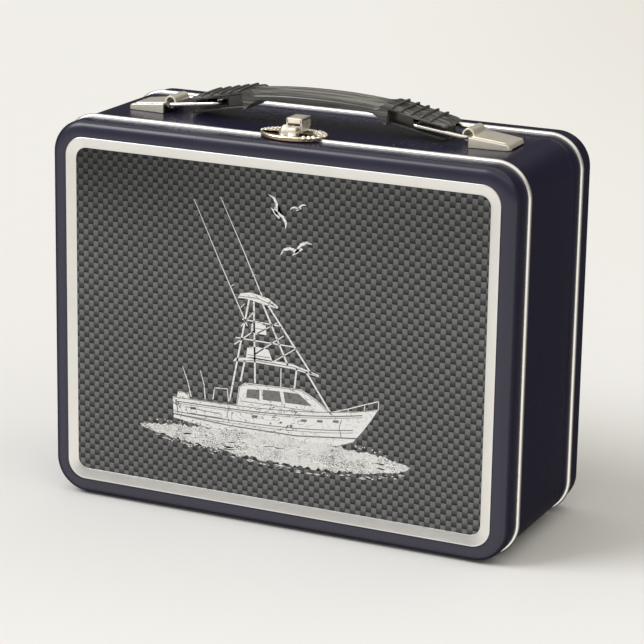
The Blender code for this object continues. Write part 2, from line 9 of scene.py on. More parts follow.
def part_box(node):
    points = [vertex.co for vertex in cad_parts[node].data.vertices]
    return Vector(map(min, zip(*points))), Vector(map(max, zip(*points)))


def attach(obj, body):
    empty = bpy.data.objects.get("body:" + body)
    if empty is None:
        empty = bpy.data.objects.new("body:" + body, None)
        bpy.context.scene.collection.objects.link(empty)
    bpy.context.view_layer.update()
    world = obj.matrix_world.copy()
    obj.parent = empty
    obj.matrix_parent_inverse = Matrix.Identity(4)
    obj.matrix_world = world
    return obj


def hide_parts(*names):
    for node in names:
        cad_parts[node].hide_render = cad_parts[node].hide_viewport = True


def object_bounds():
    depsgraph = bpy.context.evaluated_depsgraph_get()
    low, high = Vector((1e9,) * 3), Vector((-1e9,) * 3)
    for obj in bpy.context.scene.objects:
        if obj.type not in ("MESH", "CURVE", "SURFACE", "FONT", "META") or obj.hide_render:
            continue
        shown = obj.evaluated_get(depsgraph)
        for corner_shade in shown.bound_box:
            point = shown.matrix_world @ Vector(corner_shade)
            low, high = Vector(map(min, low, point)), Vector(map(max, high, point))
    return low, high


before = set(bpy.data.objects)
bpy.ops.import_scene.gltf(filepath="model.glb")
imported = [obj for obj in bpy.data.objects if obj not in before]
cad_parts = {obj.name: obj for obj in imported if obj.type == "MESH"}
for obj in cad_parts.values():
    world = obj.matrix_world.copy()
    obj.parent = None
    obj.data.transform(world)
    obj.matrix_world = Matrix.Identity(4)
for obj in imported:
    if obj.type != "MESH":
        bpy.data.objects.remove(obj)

cad_low, cad_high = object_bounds()
MM = 0.001


def low(node):
    return [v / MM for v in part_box(node)[0]]


def high(node):
    return [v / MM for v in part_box(node)[1]]


def middle(node):
    return [(a + b) / 2 for a, b in zip(low(node), high(node))]


# sizes in millimetres, read from the frame where it holds them
CASE_W = high("body_band")[0] - low("body_band")[0]
CASE_H = high("body_band")[2] - low("body_band")[2]
BOTTOM = low("body_band")[2]
TOP = high("body_band")[2]
MID_Z = middle("body_band")[2]
FRONT = low("front_lid")[1]
BACK = high("back_pan")[1]
FRONT_BEAD_Y = middle("front_rim_bead")[1]
REAR_BEAD_Y = middle("rear_rim_bead")[1]
BEAD_R = (high("rear_rim_bead")[1] - low("rear_rim_bead")[1]) / 2
BEAD_INSET = CASE_W / 2 + BEAD_R - high("rear_rim_bead")[0]
FRAME_W = high("panel_frame")[0] * 2
FRAME_H = high("panel_frame")[2] - low("panel_frame")[2]
PRINT_Y = low("picture_plate")[1]
PRINT_W = high("picture_plate")[0] * 2
PRINT_H = high("picture_plate")[2] - low("picture_plate")[2]
HINGE_HALF = high("hinge_pin")[0]
HINGE_Z = middle("hinge_pin")[2]
HANDLE_Y = middle("handle_grip")[1]
HANDLE_X = (low("left_handle_link")[0] + high("right_handle_link")[0]) / 2
GRIP_X = middle("handle_grip")[0]
CORNER_R = 14.0
SHEET = 0.8
EDGE_R = 1.8
FRAME_R = 8.0
PRINT_R = 4.6
RECESS = 2.3
OPENING_W = 181.0


# materials
def srgb(*levels):
    out = []
    for level in levels:
        c = level / 255
        out.append(c / 12.92 if c <= 0.04045 else ((c + 0.055) / 1.055) ** 2.4)
    return (out[0], out[1], out[2], 1.0)


class Graph:
    """Adds nodes to a tree. A socket given as a value is linked; anything else is set."""

    def __init__(self, tree):
        self.tree = tree

    def assign(self, socket, value):
        if isinstance(value, bpy.types.NodeSocket):
            self.tree.links.new(value, socket)
        else:
            socket.default_value = value

    def put(self, kind, inputs=(), output=0, **settings):
        node = self.tree.nodes.new("ShaderNode" + kind)
        for key, value in settings.items():
            setattr(node, key, value)
        for key, value in dict(inputs).items():
            self.assign(node.inputs[key], value)
        return node.outputs[output]

    def math(self, operation, a, b=0.0, c=0.0):
        return self.put("Math", {0: a, 1: b, 2: c}, operation=operation)

    def ramp(self, value, a, b, low_out=0.0, high_out=1.0, smooth=False):
        kind = "SMOOTHSTEP" if smooth else "LINEAR"
        inputs = {"Value": value, "From Min": a, "From Max": b}
        inputs.update({"To Min": low_out, "To Max": high_out})
        return self.put("MapRange", inputs, interpolation_type=kind)

    def mix(self, factor, a, b):
        node = self.tree.nodes.new("ShaderNodeMix")
        node.data_type = "RGBA"
        self.assign(node.inputs[0], factor)
        self.assign(node.inputs[6], a)
        self.assign(node.inputs[7], b)
        return node.outputs[2]

    def place(self, scale=(1.0, 1.0, 1.0)):
        coords = self.put("TexCoord", output=3)
        return self.put("Mapping", {"Vector": coords, "Scale": scale})

    def noise(self, scale, detail=2.0, stretch=(1.0, 1.0, 1.0), rough=0.5):
        inputs = {"Vector": self.place(stretch), "Scale": scale}
        inputs.update({"Detail": detail, "Roughness": rough})
        return self.put("TexNoise", inputs)

    def spot(self):
        """The x, y and z of a point on the object."""
        x = self.put("SeparateXYZ", {0: self.put("TexCoord", output=3)})
        return x, x.node.outputs[1], x.node.outputs[2]


class Surface(Graph):
    """A Principled material."""

    def __init__(self, name, color, metallic, rough, specular=0.5):
        self.mat = bpy.data.materials.new(name)
        self.mat.use_nodes = True
        super().__init__(self.mat.node_tree)
        self.out = self.tree.nodes["Principled BSDF"]
        self.set("Base Color", color)
        self.set("Metallic", metallic)
        self.set("Roughness", rough)
        self.set("Specular IOR Level", specular)

    def set(self, socket, value):
        self.assign(self.out.inputs[socket], value)

    def bump(self, height, strength, distance):
        inputs = {"Height": height, "Strength": strength, "Distance": distance}
        self.set("Normal", self.put("Bump", inputs))


def shaded(color, factor):
    """A colour made darker or lighter, still opaque."""
    return tuple(c * factor for c in color[:3]) + (1,)


def enamel(name, color, rough):
    g = Surface(name, color, 0.0, rough, 0.5)
    cloud = g.noise(18.0, 3.0)
    g.set("Base Color", g.mix(g.ramp(cloud, 0.3, 0.7), shaded(color, 0.88), color))
    smear = g.noise(45.0, 4.0, (1.0, 1.0, 0.35))
    g.set("Roughness", g.ramp(smear, 0.3, 0.7, rough - 0.02, rough + 0.04))
    g.bump(g.noise(500.0, 1.0), 0.05, 0.000006)
    return g.mat


def bright_metal(name, color, rough, brush=(1.0, 1.0, 1.0), depth=0.1, patina=0.88, metal=1.0):
    g = Surface(name, color, metal, rough)
    stain = g.ramp(g.noise(60.0, 4.0), 0.4, 0.75)
    g.set("Base Color", g.mix(stain, color, shaded(color, patina)))
    grain = g.noise(1900.0, 3.0, brush)
    g.set("Roughness", g.ramp(grain, 0.3, 0.7, rough - 0.03, rough + 0.05))
    g.bump(grain, depth, 0.00001)
    return g.mat


def antique_metal(name, pale, brown, rough):
    """Cast plate metal, bright on its raised parts and brown in its dish: the brown is partly
    patina and partly painted shade in the hollow.
    """
    g = Surface(name, pale, 0.85, rough)
    height = g.spot()[2]
    wear_and_shade_level = g.math("ADD", height, g.ramp(g.noise(900.0, 2.0), 0.3, 0.7, -0.0003, 0.0003))
    # the dish below the raised parts takes the brown: partly patina, partly painted shade
    raised = g.ramp(wear_and_shade_level, (TOP + 1.2) * MM, (TOP + 2.0) * MM, 0.0, 1.0, True)
    g.set("Base Color", g.mix(raised, brown, pale))
    grain = g.noise(1900.0, 3.0)
    g.set("Roughness", g.ramp(grain, 0.3, 0.7, rough - 0.06, rough + 0.08))
    g.bump(grain, 0.3, 0.00003)
    return g.mat


def woven_print(name, cell):
    g = Surface(name, srgb(90, 90, 88), 0.0, 0.40, 0.12)
    x, _, z = g.spot()
    column = g.math("DIVIDE", x, cell)
    parity = g.math("FRACT", g.math("MULTIPLY", g.math("FLOOR", column), 0.5))
    rise = g.math("FRACT", g.math("ADD", g.math("DIVIDE", z, 2 * cell), parity))
    lit = g.ramp(rise, 0.485, 0.515, 0.0, 1.0)
    sunk = g.ramp(rise, 0.0, 0.5, 0.07, 0.54)
    face = g.ramp(rise, 0.5, 1.0, 0.80, 1.06)
    level = g.put("Mix", {0: lit, 2: sunk, 3: face})
    side = g.math("ABSOLUTE", g.math("SUBTRACT", g.math("FRACT", column), 0.5))
    level = g.math("MULTIPLY", level, g.ramp(side, 0.30, 0.5, 1.0, 0.72, True))
    strands = g.noise(1.0, 1.0, (3000.0, 1.0, 420.0))
    level = g.math("MULTIPLY", level, g.ramp(strands, 0.25, 0.75, 0.78, 1.2))
    cross = g.noise(1.0, 0.0, (700.0, 1.0, 5200.0))
    level = g.math("MULTIPLY", level, g.ramp(cross, 0.25, 0.75, 0.94, 1.06))
    # The ground grows darker towards the top and darker again at the upper left corner: painted
    # shade from the frame's top and left edges, together with the print's own darkening.
    height = g.ramp(z, (MID_Z + 10) * MM, (MID_Z + 70) * MM, 0.0, 1.0, True)
    left = g.ramp(x, -0.090, 0.020, 1.0, 0.0, True)
    shade = g.math("SUBTRACT", 1.0, g.math("MULTIPLY", height, 0.28))
    corner_shade = g.math("MULTIPLY", g.math("MULTIPLY", height, height), g.math("MULTIPLY", left, 0.38))
    level = g.math("MULTIPLY", level, g.math("SUBTRACT", shade, corner_shade))
    g.set("Base Color", g.mix(level, (0.0, 0.0, 0.0, 1.0), WEAVE_LIGHT))
    g.bump(level, 0.2, 0.00006)
    return g.mat


def etched(name, light, dark, scale, bands, width):
    g = Surface(name, light, 0.0, 0.36, 0.3)
    field = g.noise(scale, 3.0, (1.0, 1.0, 1.6))
    phase = g.math("FRACT", g.math("MULTIPLY", field, bands))
    line = g.math("ABSOLUTE", g.math("SUBTRACT", phase, 0.5))
    ink = g.ramp(line, width, width * 2.2, 1.0, 0.0, True)
    blotch = g.ramp(g.noise(scale * 0.3, 2.0), 0.38, 0.60, 0.25, 1.0)
    g.set("Base Color", g.mix(g.math("MULTIPLY", ink, blotch), light, dark))
    g.bump(ink, 0.3, 0.00003)
    return g.mat


def moulded(name, color, rough):
    g = Surface(name, color, 0.0, rough, 0.6)
    cloud = g.ramp(g.noise(90.0, 4.0), 0.35, 0.65)
    g.set("Base Color", g.mix(cloud, color, shaded(color, 1.5)))
    g.set("Roughness", g.ramp(g.noise(260.0, 3.0), 0.3, 0.7, rough - 0.05, rough + 0.08))
    g.bump(g.noise(2200.0, 2.0), 0.2, 0.00002)
    return g.mat


def streaked_with_painted_sheen(name, dark, light, rough):
    """Glossy moulding with long polished and dull streaks; the light streaks in its colour are
    painted sheen.
    """
    g = Surface(name, dark, 0.0, rough, 0.7)
    broad = g.noise(1.0, 2.0, (9.0, 520.0, 520.0))
    fine = g.noise(1.0, 3.0, (26.0, 1500.0, 1500.0))
    sheen_streaks = g.math("ADD", g.math("MULTIPLY", broad, 0.7), g.math("MULTIPLY", fine, 0.3))
    # the light colour along the streaks is painted sheen
    g.set("Base Color", g.mix(g.ramp(sheen_streaks, 0.42, 0.60, 0.0, 1.0, True), dark, light))
    g.set("Roughness", g.ramp(fine, 0.3, 0.7, rough - 0.05, rough + 0.12))
    g.bump(sheen_streaks, 0.3, 0.00008)
    return g.mat


WEAVE_LIGHT = (0.157, 0.160, 0.163, 1.0)
NAVY = enamel("navy_enamel", (0.0120, 0.0112, 0.0345, 1.0), 0.27)
SILVER = bright_metal(
    "satin_silver", (0.68, 0.685, 0.69, 1.0), 0.33, (0.12, 1.0, 1.0), 0.25, 0.95)
RIM = bright_metal(
    "rim_bead_metal", (0.80, 0.79, 0.78, 1.0), 0.30, (0.4, 0.4, 0.4), 0.04, 0.97)
NICKEL = bright_metal(
    "nickel_plate", (0.90, 0.86, 0.75, 1.0), 0.33, (1.0, 0.2, 1.0), 0.3, metal=0.68)
# the latch plates' brown dish colour is partly patina, partly painted shade
CAST = antique_metal(
    "latch_cast_metal", (0.92, 0.87, 0.76, 1.0), (0.36, 0.27, 0.18, 1.0), 0.27)
WIRE = bright_metal("link_wire", (0.90, 0.88, 0.83, 1.0), 0.16, (1.0, 1.0, 1.0), 0.08)
STEEL = bright_metal("hinge_steel", (0.62, 0.62, 0.62, 1.0), 0.30, (0.3, 1.0, 1.0), 0.2)
GRIP = moulded("grip_plastic", (0.040, 0.040, 0.038, 1.0), 0.22)
# the ribs are the grip's plastic made twice as light: a painted highlight on their crests
RIBS_WITH_PAINTED_HIGHLIGHT = moulded("rib_plastic_painted_highlight", (0.080, 0.079, 0.076, 1.0), 0.20)
# the grip's light colour is painted sheen along its flutes
FLUTED = streaked_with_painted_sheen(
    "fluted_plastic", (0.022, 0.022, 0.021, 1.0), (0.165, 0.160, 0.148, 1.0), 0.24)
WEAVE = woven_print("woven_print", 0.0023)
ART = etched("etched_silver", srgb(222, 222, 221), srgb(84, 84, 84), 120.0, 7.0, 0.030)
FOAM = etched("etched_foam", srgb(218, 218, 217), srgb(96, 96, 96), 480.0, 7.0, 0.12)
INK = etched("etched_dark", srgb(112, 112, 112), srgb(70, 70, 70), 300.0, 5.0, 0.05)


# mesh helpers
def put(name, bm, material, body, replaced=(), sharp=35.0, bevel=0.0):
    bmesh.ops.remove_doubles(bm, verts=bm.verts, dist=0.000002)
    bmesh.ops.recalc_face_normals(bm, faces=bm.faces)
    for face in bm.faces:
        face.smooth = True
    for edge in bm.edges:
        if len(edge.link_faces) == 2 and edge.calc_face_angle(0.0) > math.radians(sharp):
            edge.smooth = False
    mesh = bpy.data.meshes.new(name)
    bm.to_mesh(mesh)
    bm.free()
    ob = bpy.data.objects.new(name, mesh)
    bpy.context.scene.collection.objects.link(ob)
    mesh.materials.append(material)
    if bevel:
        mod = ob.modifiers.new("edge", "BEVEL")
        mod.width = bevel * MM
        mod.segments = 2
        mod.limit_method = "ANGLE"
        mod.angle_limit = math.radians(30)
    ob.modifiers.new("flats", "WEIGHTED_NORMAL").keep_sharp = True
    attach(ob, body)
    if replaced:
        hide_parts(*replaced)
    return ob


def grow(bm, loops, cyclic):
    rows = [[bm.verts.new(p) for p in loop] for loop in loops]
    n = len(rows[0])
    for i in range(len(rows) if cyclic else len(rows) - 1):
        a = rows[i]
        b = rows[(i + 1) % len(rows)]
        for j in range(n):
            k = (j + 1) % n
            bm.faces.new((a[j], a[k], b[k], b[j]))
    if not cyclic:
        bm.faces.new(rows[0][::-1])
        bm.faces.new(rows[-1])
    return bm


def loft(loops, cyclic=False):
    return grow(bmesh.new(), loops, cyclic)


def rounded(w, h, r, zc, steps):
    pts = []
    for sx, sz, start in ((1, 1, 0), (-1, 1, 90), (-1, -1, 180), (1, -1, 270)):
        for i in range(steps + 1):
            a = math.radians(start + 90 * i / steps)
            x = sx * (w / 2 - r) + r * math.cos(a)
            pts.append((x, zc + sz * (h / 2 - r) + r * math.sin(a)))
    return pts


def ring(y, inset, r, w=None, h=None, steps=14):
    w = CASE_W if w is None else w
    h = CASE_H if h is None else h
    pts = rounded(w - 2 * inset, h - 2 * inset, max(r, 0.3), MID_Z, steps)
    return [Vector((x, y, z)) * MM for x, z in pts]


def edge_arc(side, face_y, steps=6):
    """Loops of a rounded sheet edge from the flat face at face_y out to the wall."""
    rows = []
    for i in range(steps + 1):
        a = math.radians(90 * i / steps)
        inset = EDGE_R * (1 - math.sin(a))
        y = face_y - side * EDGE_R * (1 - math.cos(a))
        rows.append(ring(y, inset, CORNER_R - inset))
    return rows


def tube(bm, path, radius, steps=12, closed=False):
    """Sweeps a round section of the given radius (a number or one per point) along a path."""
    pts = [Vector(p) for p in path]
    n = len(pts)
    loops = []
    side = None
    for i, p in enumerate(pts):
        if closed:
            along = (pts[(i + 1) % n] - pts[i - 1]).normalized()
        else:
            along = (pts[min(i + 1, n - 1)] - pts[max(i - 1, 0)]).normalized()
        if side is None:
            side = along.orthogonal().normalized()
        side = (side - along * side.dot(along)).normalized()
        up = along.cross(side)
        r = radius[i] if isinstance(radius, (list, tuple)) else radius
        row = []
        for k in range(steps):
            t = 2 * math.pi * k / steps
            row.append((p + side * r * math.cos(t) + up * r * math.sin(t)) * MM)
        loops.append(row)
    return grow(bm, loops, closed)


# the lid's crowned rim: inset from the wall and drop behind the front face
RIM_CROWN = (
    (6.25, 0.08), (5.9, 0.0), (5.0, 0.02), (4.0, 0.13), (3.0, 0.33), (2.1, 0.62),
    (1.4, 0.98), (0.8, 1.45), (0.35, 2.1), (0.08, 2.9), (0.0, 3.8))
SHELL_GAP = 0.6
SEAT_GAP = 0.12


# case shells
def band_shell():
    y0 = FRONT_BEAD_Y + SHELL_GAP
    y1 = REAR_BEAD_Y - SHELL_GAP
    groove = y1 - 7.0
    rows = [ring(y0, 0.0, CORNER_R)]
    for offset, depth in ((-0.9, 0.0), (-0.4, 0.22), (0.4, 0.22), (0.9, 0.0)):
        rows.append(ring(groove + offset, depth, CORNER_R))
    rows.append(ring(y1, 0.0, CORNER_R))
    rows += [ring(y1, SHEET, CORNER_R - SHEET), ring(y0, SHEET, CORNER_R - SHEET)]
    put("band_shell", loft(rows, True), NAVY, "case", ("body_band",))


def back_shell():
    y1 = REAR_BEAD_Y + SHELL_GAP
    step = RECESS / 2
    rows = [ring(BACK - step, 8.4, 7.6), ring(BACK - step + 0.25, 8.05, 7.95)]
    rows += [ring(BACK - 0.25, 7.15, 8.4), ring(BACK, 6.8, 8.7)]
    rows += edge_arc(1, BACK)
    rows += [ring(y1, 0.0, CORNER_R), ring(y1, SHEET, CORNER_R - SHEET)]
    rows += [ring(BACK - EDGE_R, SHEET, CORNER_R - SHEET)]
    rows += [ring(BACK - SHEET, EDGE_R, CORNER_R - EDGE_R)]
    rows += [ring(BACK - SHEET, 7.6, 8.2), ring(BACK - SHEET - step, 8.9, 7.2)]
    put("back_shell", loft(rows), NAVY, "case", ("back_pan",))


def lid_shell():
    rear = FRONT_BEAD_Y - BEAD_R - SEAT_GAP
    seat = (CASE_W - FRAME_W) / 2 - SEAT_GAP
    seat_r = FRAME_R + SEAT_GAP
    rows = [ring(FRONT + RECESS, seat, seat_r), ring(FRONT + 0.25, seat, seat_r)]
    for inset, drop in RIM_CROWN:
        rows.append(ring(FRONT + drop, inset, CORNER_R - inset))
    rows += [ring(rear, 0.0, CORNER_R), ring(rear, SHEET, CORNER_R - SHEET)]
    rows += [ring(FRONT + EDGE_R, SHEET, CORNER_R - SHEET)]
    rows += [ring(FRONT + SHEET, EDGE_R, CORNER_R - EDGE_R)]
    rows += [ring(FRONT + SHEET, seat - SHEET, seat_r + SHEET)]
    rows += [ring(FRONT + RECESS + SHEET, seat, seat_r)]
    put("lid_shell", loft(rows), NAVY, "lid", ("front_lid",))


def rim_beads():
    steps = 16
    r = CORNER_R - BEAD_INSET
    w = CASE_W - 2 * BEAD_INSET
    h = CASE_H - 2 * BEAD_INSET
    path = rounded(w, h, r, MID_Z, steps)
    rear = [(x, REAR_BEAD_Y, z) for x, z in path]
    bead = tube(bmesh.new(), rear, BEAD_R, 20, True)
    put("rear_bead", bead, RIM, "case", ("rear_rim_bead",), sharp=60)
    first = 3 * (steps + 1)
    order = path[first:] + path[:first]
    end = HINGE_HALF + 1.5
    front = [(end, FRONT_BEAD_Y, HINGE_Z)] + [(x, FRONT_BEAD_Y, z) for x, z in order]
    front += [(-end, FRONT_BEAD_Y, HINGE_Z)]
    bead = tube(bmesh.new(), front, BEAD_R, 20)
    put("front_bead", bead, RIM, "case", ("front_rim_bead",), sharp=60)


def silver_frame():
    inner = (FRAME_W - OPENING_W) / 2
    floor_y = high("panel_frame")[1]

    def row(y, inset, r):
        return ring(FRONT + y, inset, r, FRAME_W, FRAME_H)

    rows = [ring(floor_y, 0.0, FRAME_R, FRAME_W, FRAME_H), row(0.25, 0.0, FRAME_R)]
    rows += [row(0.06, 0.06, FRAME_R - 0.05), row(-0.07, 0.22, FRAME_R - 0.2)]
    rows += [row(-0.1, 0.42, FRAME_R - 0.4), row(-0.05, 0.75, FRAME_R - 0.65)]
    rows += [row(0.42, 2.7, PRINT_R + 1.7), row(0.92, inner - 0.1, PRINT_R + 0.1)]
    rows += [row(0.98, inner - 0.02, PRINT_R + 0.02), row(1.15, inner, PRINT_R)]
    rows += [ring(floor_y, inner, PRINT_R, FRAME_W, FRAME_H)]
    put("silver_frame", loft(rows, True), SILVER, "lid", ("panel_frame",), sharp=50)


def picture():
    rows = []
    for y, inset in ((PRINT_Y, 0.0), (high("picture_plate")[1], 0.0)):
        rows.append(ring(y, inset, PRINT_R, PRINT_W + 0.4, PRINT_H + 0.4))
    put("woven_panel", loft(rows), WEAVE, "lid", ("picture_plate",))


band_shell()
back_shell()
lid_shell()
rim_beads()
silver_frame()
picture()


# sea picture, laid on the woven panel; points are millimetres from the panel's centre.
# Its main points follow the layout of the picture in the photo.
class Sketch:
    def __init__(self, lift):
        self.bm = bmesh.new()
        self.y = PRINT_Y - lift

    def at(self, x, z):
        return Vector((x, self.y, MID_Z + z)) * MM

    def area(self, points):
        verts = [self.bm.verts.new(self.at(x, z)) for x, z in points]
        face = self.bm.faces.new(verts)
        bmesh.ops.triangulate(self.bm, faces=[face])

    def stroke(self, points, w0, w1=None):
        w1 = w0 if w1 is None else w1
        n = len(points)
        left = []
        right = []
        for i, (x, z) in enumerate(points):
            a = points[max(i - 1, 0)]
            b = points[min(i + 1, n - 1)]
            dx, dz = b[0] - a[0], b[1] - a[1]
            size = math.hypot(dx, dz)
            w = (w0 + (w1 - w0) * i / (n - 1)) / 2
            left.append(self.bm.verts.new(self.at(x - dz / size * w, z + dx / size * w)))
            right.append(self.bm.verts.new(self.at(x + dz / size * w, z - dx / size * w)))
        for i in range(n - 1):
            self.bm.faces.new((left[i], right[i], right[i + 1], left[i + 1]))

    def done(self, name, material):
        mesh = bpy.data.meshes.new(name)
        self.bm.normal_update()
        for face in self.bm.faces:
            if face.normal.y > 0:
                face.normal_flip()
        self.bm.to_mesh(mesh)
        self.bm.free()
        ob = bpy.data.objects.new(name, mesh)
        bpy.context.scene.collection.objects.link(ob)
        mesh.materials.append(material)
        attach(ob, "lid")


def hull_sheer(x):
    t = (x + 46) / 92
    return -31.0 + 1.0 * t + 7.0 * t ** 3


def sketch_hull():
    s = Sketch(0.03)
    sheer = [(x, hull_sheer(x)) for x in range(-46, 47, 4)]
    keel = [(43, -28), (39.5, -33), (35.5, -38), (28, -41), (0, -42.5), (-30, -42), (-45.5, -40)]
    s.area(sheer + keel)
    s.done("etched_hull", ART)


def sketch_cabin():
    s = Sketch(0.04)
    s.area([
        (-17, -31.5), (-15.8, -22.5), (-13, -20.4), (12, -19.6),
        (18, -22.4), (27, -28.6), (20, -31.0)])
    s.area([
        (-18.5, -12.2), (-17.5, -10.6), (-10, -9.3), (8, -9.6),
        (19.5, -12.4), (20, -13.4), (8, -11.6), (-8, -11.2)])
    s.area([
        (-16.5, 14.6), (-15.5, 16.6), (-11, 17.6), (-3, 16.2),
        (1.5, 13.2), (1, 12.4), (-6, 13.6), (-13, 14.8)])
    s.area([(-12.6, -9.8), (-12.2, -5.6), (-7.6, -4.6), (-2.6, -5.2), (-0.8, -9.9)])
    s.area([(-10.6, 1.0), (-10.2, 5.0), (-7.2, 5.8), (-4.0, 4.8), (-3.6, 0.8)])
    legs = (
        ((-20, -29), (-11.5, 14.6)), ((-8.5, -20), (-9.4, 14.0)), ((16.5, -12.6), (-3.2, 13.4)),
        ((25.5, -28), (14, -11.8)), ((6, -10.4), (-5.5, 13.6)), ((-15, -20), (-13.2, -11)),
        ((9, -20), (10, -11)))
    rungs = (
        ((-17.5, -2), (8.5, -2.4)), ((-14.5, 6), (2.4, 5.4)), ((-18, -5), (-9, 2)),
        ((-9, -8), (4, 1.5)))
    braces = (
        ((9.5, -3), (0, -9.5)), ((-15, 3), (-9.2, 10)), ((1, 6.5), (-8.5, 0.5)),
        ((3, -12), (3, -20)))
    for bars, width in ((legs, 0.75), (rungs, 0.5), (braces, 0.42)):
        for a, b in bars:
            s.stroke([a, b], width)
    s.stroke([(-12.2, 3.5), (-24, 27), (-36.5, 53)], 0.5, 0.2)
    s.stroke([(-5.6, 16.4), (-14, 34), (-24.6, 55.2)], 0.5, 0.2)
    spreaders = (
        ((-15.5, 10.5), (-13.4, 12.6)), ((-19.8, 18.8), (-18.4, 20.0)),
        ((-10.2, 24.4), (-9.0, 25.2)))
    for a, b in spreaders:
        s.stroke([a, b], 0.3)
    s.stroke([(-37.5, -30), (-39, -24), (-41.5, -17.5)], 0.5, 0.25)
    s.stroke([(-31, -30), (-31.6, -24), (-33.4, -18)], 0.5, 0.25)
    s.stroke([(-27.5, -29.6), (-26.8, -24.6), (-21, -24.2), (-20.4, -29.6)], 0.5)
    s.area([(-44, -31), (-43.6, -28.6), (-38.6, -28.4), (-38.2, -31)])
    rail = [(26, -27), (33, -24.6), (40, -21.8), (46, -19.6)]
    s.stroke(rail, 0.4)
    for x, z in rail:
        s.stroke([(x, z), (x - 0.2, hull_sheer(x))], 0.35)
    s.done("etched_cabin", ART)


def sketch_details():
    d = Sketch(0.055)
    d.area([(-12.5, -26.6), (-12.0, -23.0), (-6.5, -22.4), (-6.5, -26.4)])
    d.area([(-5, -26.4), (-5, -22.2), (2.5, -21.8), (3.5, -26.2)])
    d.area([(5, -26.2), (4.2, -21.7), (11, -21.6), (17.0, -25.9)])
    for x in (-38, -10, 12, 19, 26):
        z = hull_sheer(x) - 4.4
        d.area([(x, z), (x + 0.4, z + 1.0), (x + 2.8, z + 1.2), (x + 2.6, z + 0.1)])
    edge = [(x, hull_sheer(x)) for x in range(-46, 47, 4)]
    edge += [(43, -28), (39.5, -33), (35.5, -38), (28, -41)]
    d.stroke([(x - 0.2, z - 0.25) for x, z in edge], 0.28)
    d.stroke([(x, hull_sheer(x) - 1.9) for x in range(-45, 43, 4)], 0.42)
    d.stroke([(x, hull_sheer(x) - 2.7) for x in range(-45, 43, 4)], 0.2)
    d.stroke([(x, hull_sheer(x) - 6.3 - 0.02 * (x + 45)) for x in range(-45, 38, 4)], 0.34)
    d.stroke([(x, hull_sheer(x) - 7.4 - 0.02 * (x + 45)) for x in range(-45, 36, 4)], 0.2)
    d.stroke([(-45.6, -38.4), (-20, -39.6), (10, -39.4), (37, -36.4)], 0.5)
    d.stroke([(-40, -34.6), (-24, -35.4), (-23, -37.0), (-39, -37.2), (-40, -34.6)], 0.3)
    d.stroke([(-20, -31.2), (-21, -35.2), (-20, -38.6)], 0.28)
    d.stroke([(30, -29.6), (29, -33), (30, -37)], 0.28)
    roof = [(-16.6, -31), (-15.4, -22.6), (-12.8, -20.8), (11.8, -20.0), (17.6, -22.8), (26, -28.4)]
    d.stroke(roof, 0.26)
    d.stroke([(-14.5, -28.4), (20, -28.0)], 0.26)
    d.stroke([(-17.8, -12.0), (-8, -10.4), (8, -10.7), (18.8, -12.8)], 0.3)
    d.stroke([(-15.8, 15.4), (-8, 15.6), (0.6, 13.0)], 0.28)
    d.stroke([(-12, -8.4), (-2, -8.4)], 0.26)
    d.stroke([(-10, 3.0), (-4, 3.0)], 0.26)
    d.stroke([(-44.5, -32), (-43.5, -38)], 0.4)
    d.done("etched_details", INK)


def ragged(rng, count, lift, swell, rough):
    """One edge of the wake, from stern to bow, with broken water along it."""
    pts = []
    for i in range(count + 1):
        t = i / count
        rise = math.sin(math.pi * t) ** 0.6 * swell * (0.7 + 0.4 * t)
        jag = rng.uniform(-1, 1) * rough * math.sin(math.pi * t) ** 0.3
        pts.append((-61 + 121 * t, lift + rise + jag))
    return pts


def sketch_sea():
    rng = random.Random(7)
    s = Sketch(0.05)
    s.area(ragged(rng, 130, -44.9, 4.6, 0.9) + ragged(rng, 130, -45.3, -7.6, 0.75)[::-1])
    for k in range(70):
        t = rng.uniform(0.04, 0.97)
        x = -61 + 121 * t
        z = -45.6 - 8.6 * math.sin(math.pi * t) ** 0.6 * (0.7 + 0.4 * t) - rng.uniform(-0.4, 1.4)
        w = rng.uniform(0.8, 4.2)
        under = (x + w * 0.5, z - 0.22 - w * 0.05)
        s.area([(x, z), under, (x + w, z + 0.1), (x + w * 0.5, z + 0.2 + w * 0.04)])
    for k in range(60):
        t = rng.uniform(0.03, 0.97)
        x = -61 + 121 * t
        z = -44.2 + 5.2 * math.sin(math.pi * t) ** 0.6 * (0.7 + 0.4 * t) + rng.uniform(-0.2, 1.0)
        w = rng.uniform(0.4, 1.3)
        s.area([(x, z), (x + w * 0.6, z - 0.2), (x + w, z + 0.25), (x + w * 0.3, z + 0.4)])
    s.done("etched_wake", FOAM)
    calm = Sketch(0.06)
    for k in range(34):
        t = rng.uniform(0.15, 0.9)
        x = -61 + 121 * t
        z = -45.8 - 5.0 * math.sin(math.pi * t) ** 0.6 * rng.uniform(-0.3, 1.0)
        w = rng.uniform(3, 12)
        calm.area([(x, z), (x + w * 0.4, z - 0.5), (x + w, z + 0.1), (x + w * 0.5, z + 0.45)])
    calm.done("etched_swell", ART)


def sketch_gull(s, x, z, span, tilt):
    def at(u, v):
        c, n = math.cos(tilt), math.sin(tilt)
        return (x + span * (u * c - v * n), z + span * (u * n + v * c))

    wing = [
        (-0.5, -0.06), (-0.36, 0.10), (-0.18, 0.12), (0.0, 0.03), (0.17, 0.15), (0.36, 0.17),
        (0.5, 0.06), (0.34, 0.10), (0.17, 0.07), (0.05, -0.05), (-0.04, -0.07), (-0.17, 0.04),
        (-0.34, 0.04)]
    body = [(-0.16, -0.12), (0.02, 0.02), (0.15, 0.03), (0.20, -0.01), (0.04, -0.08)]
    for outline in (wing, body):
        s.area([at(u, v) for u, v in outline])


